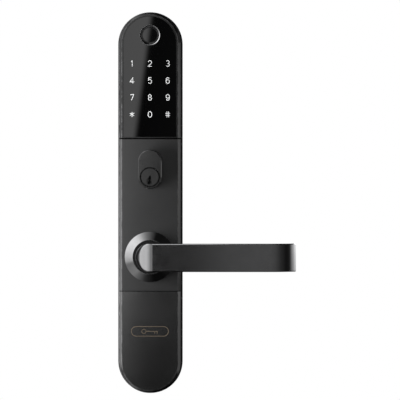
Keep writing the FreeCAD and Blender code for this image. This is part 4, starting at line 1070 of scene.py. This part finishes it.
@dataclass
class Keypad:
    """The glass panel with its figures, and the round sensor at its top.

    Attributes:
        dresser: Who gives the finishes.
        pitch: Distance between keys across and up.
        first_row_below_sensor: From the sensor's centre down to the first row.
        figure_height: Height of a figure.
        line_width: Width of its strokes.
        fine_width: Width of the strokes of the star and the hash.
        collar_groove: Radius at the bottom of the sensor collar's groove.
        collar_rim: Radius where its flat rim starts.
    """

    dresser: Dresser
    pitch: Pair = (0.01565, 0.01485)
    first_row_below_sensor: float = 0.0249
    figure_height: float = 0.0050
    line_width: float = 0.00059
    fine_width: float = 0.00046
    collar_groove: float = 0.0073
    collar_rim: float = 0.0088

    def dress(self) -> None:
        """Gives the keypad's nodes their finishes."""
        dress = self.dresser.dress
        dress(BlackGlass("keypad_glass_black"), "keypad_glass")
        window = BlackGlass("sensor_window_black", (0.0015, 0.0015, 0.0018), 0.012, 0.012)
        dress(window, "sensor_disc")
        dress(self.collar(), "sensor_ring")
        dress(CircuitBoard("circuit_board_mask"), "keypad_board", "control_board")
        dress(Moulded("light_box_moulding", (0.78, 0.78, 0.76), 0.5), "light_box")
        dress(LitFigure("led_lens", (0.86, 0.85, 0.72), 0.1), "key_leds")
        chip = Moulded("chip_moulding", (0.012, 0.012, 0.013), 0.42, 0.00025, 6e-6, 0.08)
        dress(chip, "sensor_module", "board_chips", "board_header", "buzzer")
        dress(Moulded("socket_moulding", (0.62, 0.57, 0.42), 0.45), "harness_socket")

    def collar(self) -> Metal:
        """The sensor's collar, polished outside its groove, with painted shade in black within the groove and
        at its rim.

        Returns:
            Its finish.
        """
        low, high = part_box("sensor_ring")
        centre = ((low.x + high.x) / 2, (low.z + high.z) / 2)
        # Painted shade: the collar is plain black within its groove and at its rim.
        bare = (self.collar_groove, self.collar_rim)
        colour = (0.62, 0.62, 0.63)
        return Metal("sensor_collar", colour, 0.05, Lay.ROUND_Y, centre, 0.00015, 1e-6, 0.1, bare=bare)

    def figures(self) -> None:
        """Prints the twelve figures on the glass."""
        low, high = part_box("sensor_disc")
        middle, top = (low.x + high.x) / 2, (low.z + high.z) / 2 - self.first_row_below_sensor
        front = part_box("keypad_glass")[0].y
        bold, fine = PrintedLine(self.line_width), PrintedLine(self.fine_width)
        finish = LitFigure("figure_print", (0.82, 0.83, 0.83), 0.12)
        for index, (name, strokes) in enumerate(figure_strokes().items()):
            row, column = divmod(index, 3)
            centre = (middle + (column - 1) * self.pitch[0], top - row * self.pitch[1])
            line = fine if name in ("star", "hash") else bold
            piece = printed(f"figure_{name}", strokes, line, centre, self.figure_height, front)
            self.dresser.add(piece, finish, "led_white", Body.ESCUTCHEON)


@dataclass
class Cylinder:
    """The oval key cylinder with its plug, pins and clip.

    Attributes:
        dresser: Who gives the finishes.
    """

    dresser: Dresser

    def dress(self) -> None:
        """Gives the cylinder's nodes their finishes."""
        dress = self.dresser.dress
        low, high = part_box("key_plug")
        axis = ((low.x + high.x) / 2, (low.z + high.z) / 2)
        body = Metal("cylinder_plate", (0.15, 0.15, 0.15), 0.08, line_size=0.0002)
        dress(body, "cylinder_body")
        plug = Metal("plug_plate", (0.062, 0.062, 0.062), 0.2, Lay.ROUND_Y, axis, 0.0002, 3e-6, metallic=0.7)
        dress(plug, "key_plug")
        brass = Metal("pin_brass_turned", (0.72, 0.55, 0.27), 0.25, line_size=0.0002)
        dress(brass, "key_pins", "driver_pins", "chamber_cover")
        wire = Metal("spring_wire", (0.45, 0.45, 0.47), 0.3, line_size=0.0002, tarnish=0.3)
        dress(wire, "pin_springs", "return_spring")
        hard = Metal("hardened_steel", (0.5, 0.5, 0.52), 0.33, line_size=0.0003, tarnish=0.3)
        dress(hard, "cylinder_cam", "spindle", "spindle_follower", "drive_hub", "hub_pins")
        dress(hard, "clutch_pin")


@dataclass
class Lever:
    """The lever, its rose and the clutch behind them.

    Attributes:
        dresser: Who gives the finishes.
        plate: Colour of the lever's and the rose's plating.
        rose_lip: Radius within which the rose's front is painted shade in black, by the gap round the neck.
    """

    dresser: Dresser
    plate: Colour = (0.40, 0.40, 0.405)
    rose_lip: float = 0.0149

    def dress(self) -> None:
        """Gives the lever's and the clutch's nodes their finishes."""
        dress = self.dresser.dress
        lever = Metal("lever_plate", self.plate, 0.05, Lay.ALONG_X, line_size=0.0002, tarnish=0.08)
        dress(lever, "lever_handle")
        # Painted shade: the rose is plain black within its lip, by the gap round the neck.
        bare = (self.rose_lip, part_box("rose")[1].x + MILLIMETRE)
        rose = Metal("rose_plate", self.plate, 0.10, Lay.ROUND_Y, line_size=0.0002, tarnish=0.08, bare=bare)
        dress(rose, "rose")
        bronze = Metal("sintered_bronze", (0.50, 0.33, 0.17), 0.4, line_size=0.0003, tarnish=0.35)
        dress(bronze, "lever_bush")
        acetal = Moulded("acetal_moulding", (0.74, 0.74, 0.71), 0.38, 0.0006, 6e-6, 0.05)
        dress(acetal, "thrust_washer", "follower_washer", "motor_bracket", "clutch_shoe")
        motor = Metal("motor_can_steel", (0.58, 0.58, 0.59), 0.22, line_size=0.0003)
        dress(motor, "clutch_motor")
        worm = Metal("lead_screw_steel", (0.55, 0.55, 0.56), 0.25, line_size=0.0002)
        dress(worm, "clutch_screw")


# ------------------------------------------------------------------ studio
@dataclass(frozen=True)
class Lamp:
    """A soft rectangular lamp.

    Attributes:
        name: Its name.
        place: Its middle.
        aim: The point that it faces.
        size: Its width and height.
        power: Its power in watts.
        shiny: Whether shiny surfaces show it.
    """

    name: str
    place: Triple
    aim: Triple
    size: Pair
    power: float
    shiny: bool = True

    def hang(self) -> None:
        """Adds the lamp to the scene."""
        data = bpy.data.lights.new(self.name, "AREA")
        data.shape, data.energy = "RECTANGLE", self.power
        data.size, data.size_y = self.size
        lamp = bpy.data.objects.new(self.name, data)
        lamp.location = self.place
        lamp.rotation_euler = (Vector(self.aim) - Vector(self.place)).to_track_quat("-Z", "Y").to_euler()
        lamp.visible_camera, lamp.visible_glossy = False, self.shiny
        bpy.context.scene.collection.objects.link(lamp)


# Brightness of the world by azimuth at the left, as (degrees, brightness) stops.
LEFT_LIGHT = [
    (-180, 0.05), (-114, 0.05), (-101, 0.22), (-94, 0.7), (-89, 1.15), (-84, 1.5), (-76, 1.45), (-60, 1.4),
    (-41, 1.45), (-25, 1.0), (-12, 0.5), (-8.5, 0.43), (-5, 0.6), (-3.6, 1.2), (0, 1.26),
]
# Its share by elevation.
HEIGHT_LIGHT = [
    (-60, 0.3), (-42, 0.3), (-34, 0.28), (-20, 0.24), (-16, 0.36), (-12, 0.58), (-5, 0.72), (0, 0.87),
    (6, 0.93), (15, 1.1), (36, 1.25), (60, 1.1),
]
# Brightness of the wall at the right and of its strip of light, by azimuth.
RIGHT_WALL = [
    (-1.9, 0.0), (-1.6, 0.02), (-1.0, 0.03), (-0.5, 0.035), (0.0, 0.075), (0.55, 0.12), (1.2, 0.16),
    (2.0, 0.145), (18, 0.115), (37, 0.052), (58, 0.016), (120, 0.004),
]
RIGHT_STRIP = [
    (58, 0.0), (70, 0.01), (78, 0.08), (88, 0.8), (98, 1.5), (106, 2.6), (113, 3.0), (126, 0.6), (136, 0.0),
]
# Brightness overhead and underneath, by how far the direction leans to the right.
OVERHEAD = [
    (-0.75, 1.8), (-0.56, 1.5), (-0.40, 0.98), (-0.35, 0.76), (-0.16, 0.36), (0.05, 0.14), (0.25, 0.012),
]
UNDERNEATH = [(-0.75, 0.4), (-0.66, 0.4), (-0.50, 0.24), (-0.24, 0.06), (-0.10, 0.03), (0.15, 0.007)]


@dataclass
class World:
    """The light from far round the lock, as a function of direction.

    Azimuth is the angle from straight ahead of the lock, and falls to the left. A soft bank fills the left,
    up to a slanted edge near the middle and down to a sloping foot. Overhead the light fades from left to
    right. The right is a dark wall with a strip of light at its side. Angles are in degrees, and a pair of
    them is where a fade starts and ends.

    Attributes:
        bank_edge: Azimuth of the soft bank's right edge at level height.
        bank_slant: Degrees that the edge leans to the right for each degree up.
        slant_span: Elevations between which it leans.
        softness: Half width of the edge's fade.
        bank_foot: Elevation of the bank's lower edge in front.
        foot_slope: Degrees that it falls for each degree of azimuth to the left.
        foot_span: Azimuths between which it slopes.
        foot_fade: Half height of its fade.
        foot_ends: Azimuths between which the foot comes in. Left of them the bank reaches all the way down.
        under_bank: Share of the bank's light below the foot.
        wall_dip: Share by which the dark wall in front is darker low down.
        dip_heights: Elevations over which it grows darker.
        dip_sides: Azimuths over which it does so.
        strip_height: Elevation of the strip's middle.
        strip_core: Distances from its middle over which it falls to strip_halo.
        strip_halo: Share of its light outside the core.
        strip_ends: Elevations up or down over which it falls to strip_rest.
        strip_rest: Share of its light beyond them.
        ceiling: Elevations over which the light overhead comes in.
        ground: Elevations over which the light underneath comes in.
        rear: Azimuths either way over which the white rear comes in.
        rear_ends: Elevations up or down over which it goes out.
    """

    bank_edge: float = -1.965
    bank_slant: float = 0.134
    slant_span: Pair = (-12.0, 20.0)
    softness: float = 0.09
    bank_foot: float = -4.5
    foot_slope: float = 0.11
    foot_span: Pair = (-100.0, 0.0)
    foot_fade: float = 3.5
    foot_ends: Pair = (-68.0, -52.0)
    under_bank: float = 0.3
    wall_dip: float = 0.85
    dip_heights: Pair = (-2.0, -5.0)
    dip_sides: Pair = (1.2, 0.0)
    strip_height: float = 1.5
    strip_core: Pair = (1.5, 4.5)
    strip_halo: float = 0.22
    strip_ends: Pair = (18.0, 30.0)
    strip_rest: float = 0.04
    ceiling: Pair = (46.0, 56.0)
    ground: Pair = (-44.0, -54.0)
    rear: Pair = (171.0, 177.0)
    rear_ends: Pair = (20.0, 40.0)

    def bank(self, graph: Graph, azimuth: Value, elevation: Value) -> Value:
        """The soft bank at the left.

        Args:
            graph: The world's builder.
            azimuth: The direction's azimuth.
            elevation: Its elevation.

        Returns:
            The brightness.
        """
        past = azimuth - self.clamped(graph, elevation, *self.slant_span) * self.bank_slant - self.bank_edge
        bank = 1.0 - graph.smooth(past, -self.softness, self.softness)
        foot = self.bank_foot + self.clamped(graph, azimuth, *self.foot_span) * self.foot_slope
        cut = (1.0 - self.under_bank) * graph.smooth(azimuth, *self.foot_ends)
        low = 1.0 - cut * graph.smooth(elevation - foot, self.foot_fade, -self.foot_fade)
        bank = bank * low * self.profile(graph, elevation, HEIGHT_LIGHT)
        return bank * self.profile(graph, azimuth, LEFT_LIGHT)

    def wall(self, graph: Graph, azimuth: Value, elevation: Value) -> Value:
        """The dark wall at the right, darker low down in front.

        Args:
            graph: The world's builder.
            azimuth: The direction's azimuth.
            elevation: Its elevation.

        Returns:
            The brightness.
        """
        dip = self.wall_dip * graph.smooth(elevation, *self.dip_heights)
        dip = dip * graph.smooth(azimuth, *self.dip_sides)
        return self.profile(graph, azimuth, RIGHT_WALL) * (1.0 - dip)

    def strip(self, graph: Graph, azimuth: Value, elevation: Value) -> Value:
        """The strip of light at the wall's side.

        Args:
            graph: The world's builder.
            azimuth: The direction's azimuth.
            elevation: Its elevation.

        Returns:
            The brightness.
        """
        core = graph.smooth(abs(elevation - self.strip_height), *self.strip_core, 1.0, self.strip_halo)
        ends = graph.smooth(abs(elevation), *self.strip_ends, 1.0, self.strip_rest)
        return core * ends * self.profile(graph, azimuth, RIGHT_STRIP)

    def build(self) -> None:
        """Builds the world, which is plain white to the camera.

        It is white too to rays that leave behind the lock after a mirror or a clear piece.
        """
        world = bpy.data.worlds.new("studio")
        bpy.context.scene.world = world
        world.use_nodes = True
        graph = Graph(world.node_tree)
        x, y, z = graph.parts(graph.node("ShaderNodeTexCoord", output="Generated"))
        azimuth = graph.maths("ARCTAN2", x, -y) * math.degrees(1)
        elevation = graph.maths("ARCSINE", self.clamped(graph, z, -1.0, 1.0)) * math.degrees(1)
        sides = (azimuth, elevation)
        level = self.bank(graph, *sides) + self.wall(graph, *sides) + self.strip(graph, *sides)
        over, under = graph.smooth(elevation, *self.ceiling), graph.smooth(elevation, *self.ground)
        level = level * (1.0 - over - under) + over * self.profile(graph, x, OVERHEAD)
        level = level + under * self.profile(graph, x, UNDERNEATH)
        kinds = ("Camera", "Glossy", "Transmission")
        seen, shiny, through = (graph.node("ShaderNodeLightPath", output=f"Is {kind} Ray") for kind in kinds)
        behind = graph.smooth(abs(azimuth), *self.rear)
        behind = behind * (1.0 - graph.smooth(abs(elevation), *self.rear_ends))
        white = graph.maths("ADD", seen, (shiny + through) * behind, clamp=True)
        strength = white + (1.0 - white) * level
        background = graph.node("ShaderNodeBackground", None, {"Color": (1, 1, 1, 1), "Strength": strength})
        graph.node("ShaderNodeOutputWorld", None, {"Surface": background})

    @staticmethod
    def clamped(graph: Graph, value: Value, low: float, high: float) -> Value:
        """The value kept between low and high."""
        return graph.maths("MINIMUM", graph.maths("MAXIMUM", value, low), high)

    @staticmethod
    def profile(graph: Graph, angle: Value, stops: list[Pair]) -> Value:
        """A brightness that changes with an angle, by straight runs between its stops.

        Args:
            graph: The world's builder.
            angle: What the stops are places of.
            stops: (angle, brightness) pairs in rising order.

        Returns:
            The brightness.
        """
        first, last = stops[0][0], stops[-1][0]
        places = [((place - first) / (last - first), level / BRIGHTEST) for place, level in stops]
        along = (angle - first) / (last - first)
        return graph.node("ShaderNodeValToRGB", {"stops": places}, {0: along}) * BRIGHTEST


@dataclass
class Studio:
    """The camera, the pale floor and the two lamps.

    Attributes:
        eye: The camera's place.
        lens: Its focal length in millimetres.
        clip: Its nearest and farthest distance.
        floor_height: Height of the floor.
        floor_radius: Radius of the floor.
        floor_hub: Radius of its middle face, as a share of the whole.
        floor_rings: How many rings of points it has.
        floor_sides: How many points a ring has.
        floor_fade: Shares of its radius over which it fades to white.
        side_lamp: A tall lamp at the left, whose grazing light shades the paint and throws the shadows.
        rear_lamp: A wide lamp behind, for the back and the right side.
    """

    eye: Triple = (0.04384, -1.9, 0.0498)
    lens: float = 193.1
    clip: Pair = (0.05, 60.0)
    floor_height: float = -0.30
    floor_radius: float = 1.6
    floor_hub: float = 0.02
    floor_rings: int = 12
    floor_sides: int = 96
    floor_fade: Pair = (0.1, 0.8)
    side_lamp: Lamp = Lamp(
        "side_lamp", (-0.215, -0.067, -0.005), (0.0, -0.022, -0.005), (0.04, 0.20), 3.5, shiny=False
    )
    rear_lamp: Lamp = Lamp("rear_lamp", (1.5, 1.2, 0.8), (0.0, 0.0, 0.05), (0.8, 0.9), 42.0)

    def camera(self) -> None:
        """Sets up the camera, level and square to the lock."""
        data = bpy.data.cameras.new("camera")
        data.sensor_width, data.lens = FILM_WIDTH, self.lens
        data.clip_start, data.clip_end = self.clip
        camera = bpy.data.objects.new("camera", data)
        camera.location = self.eye
        camera.rotation_euler = (math.pi / 2, 0.0, 0.0)
        bpy.context.scene.collection.objects.link(camera)
        bpy.context.scene.camera = camera

    def floor(self) -> None:
        """A round pale floor that fades to white at its rim.

        Its points are the radius times the angle's cosine and sine, on rings from the middle out.
        """
        rings = np.linspace(self.floor_hub, 1.0, self.floor_rings)[:, None] * self.floor_radius
        turn = np.linspace(0, 2 * np.pi, self.floor_sides, endpoint=False)[None, :]
        x, y = rings * np.cos(turn), rings * np.sin(turn)
        points = np.stack([x, y, np.full_like(x, self.floor_height)], axis=2).reshape(-1, 3)
        faces = grid_faces(self.floor_rings, self.floor_sides, False, True).tolist()
        faces.append(list(range(self.floor_sides)))
        floor = mesh_object("floor", points, faces)
        floor.data.materials.append(self.floor_material())
        floor.visible_glossy = floor.visible_diffuse = False

    def floor_material(self) -> bpy.types.Material:
        """Pale matt floor, whose rim is lost in the white round it.

        Returns:
            The material.
        """
        material, graph = new_material("pale_floor")
        place = graph.place()
        x, y, _ = graph.parts(place)
        radius = graph.maths("SQRT", x * x + y * y)
        cloud = graph.noise(place, FLOOR_CLOUD)
        pale = graph.mix(cloud, (0.95, 0.95, 0.95), (0.92, 0.92, 0.92))
        sockets = {"Base Color": pale, "Roughness": 0.7 + cloud * 0.1, "Specular IOR Level": 0.0}
        matt = graph.node("ShaderNodeBsdfPrincipled", None, sockets)
        white = graph.node("ShaderNodeEmission", None, {"Color": (1, 1, 1, 1), "Strength": 1.0})
        fade = graph.smooth(radius, *(share * self.floor_radius for share in self.floor_fade))
        shown = graph.node("ShaderNodeMixShader", None, {0: fade, 1: matt, 2: white})
        graph.node("ShaderNodeOutputMaterial", None, {"Surface": shown})
        return material


def main() -> None:
    """Builds the lock's looks and its studio."""
    logging.basicConfig(level=logging.INFO, format="%(name)s: %(message)s")
    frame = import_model()
    bpy.context.scene.view_settings.view_transform = "Standard"
    dresser = Dresser(frame["nodes"])
    case = Escutcheon(dresser)
    case.dress()
    case.mark()
    keypad = Keypad(dresser)
    keypad.dress()
    keypad.figures()
    Cylinder(dresser).dress()
    Lever(dresser).dress()
    studio = Studio()
    studio.camera()
    studio.floor()
    studio.side_lamp.hang()
    studio.rear_lamp.hang()
    World().build()


if __name__ == "__main__":
    main()
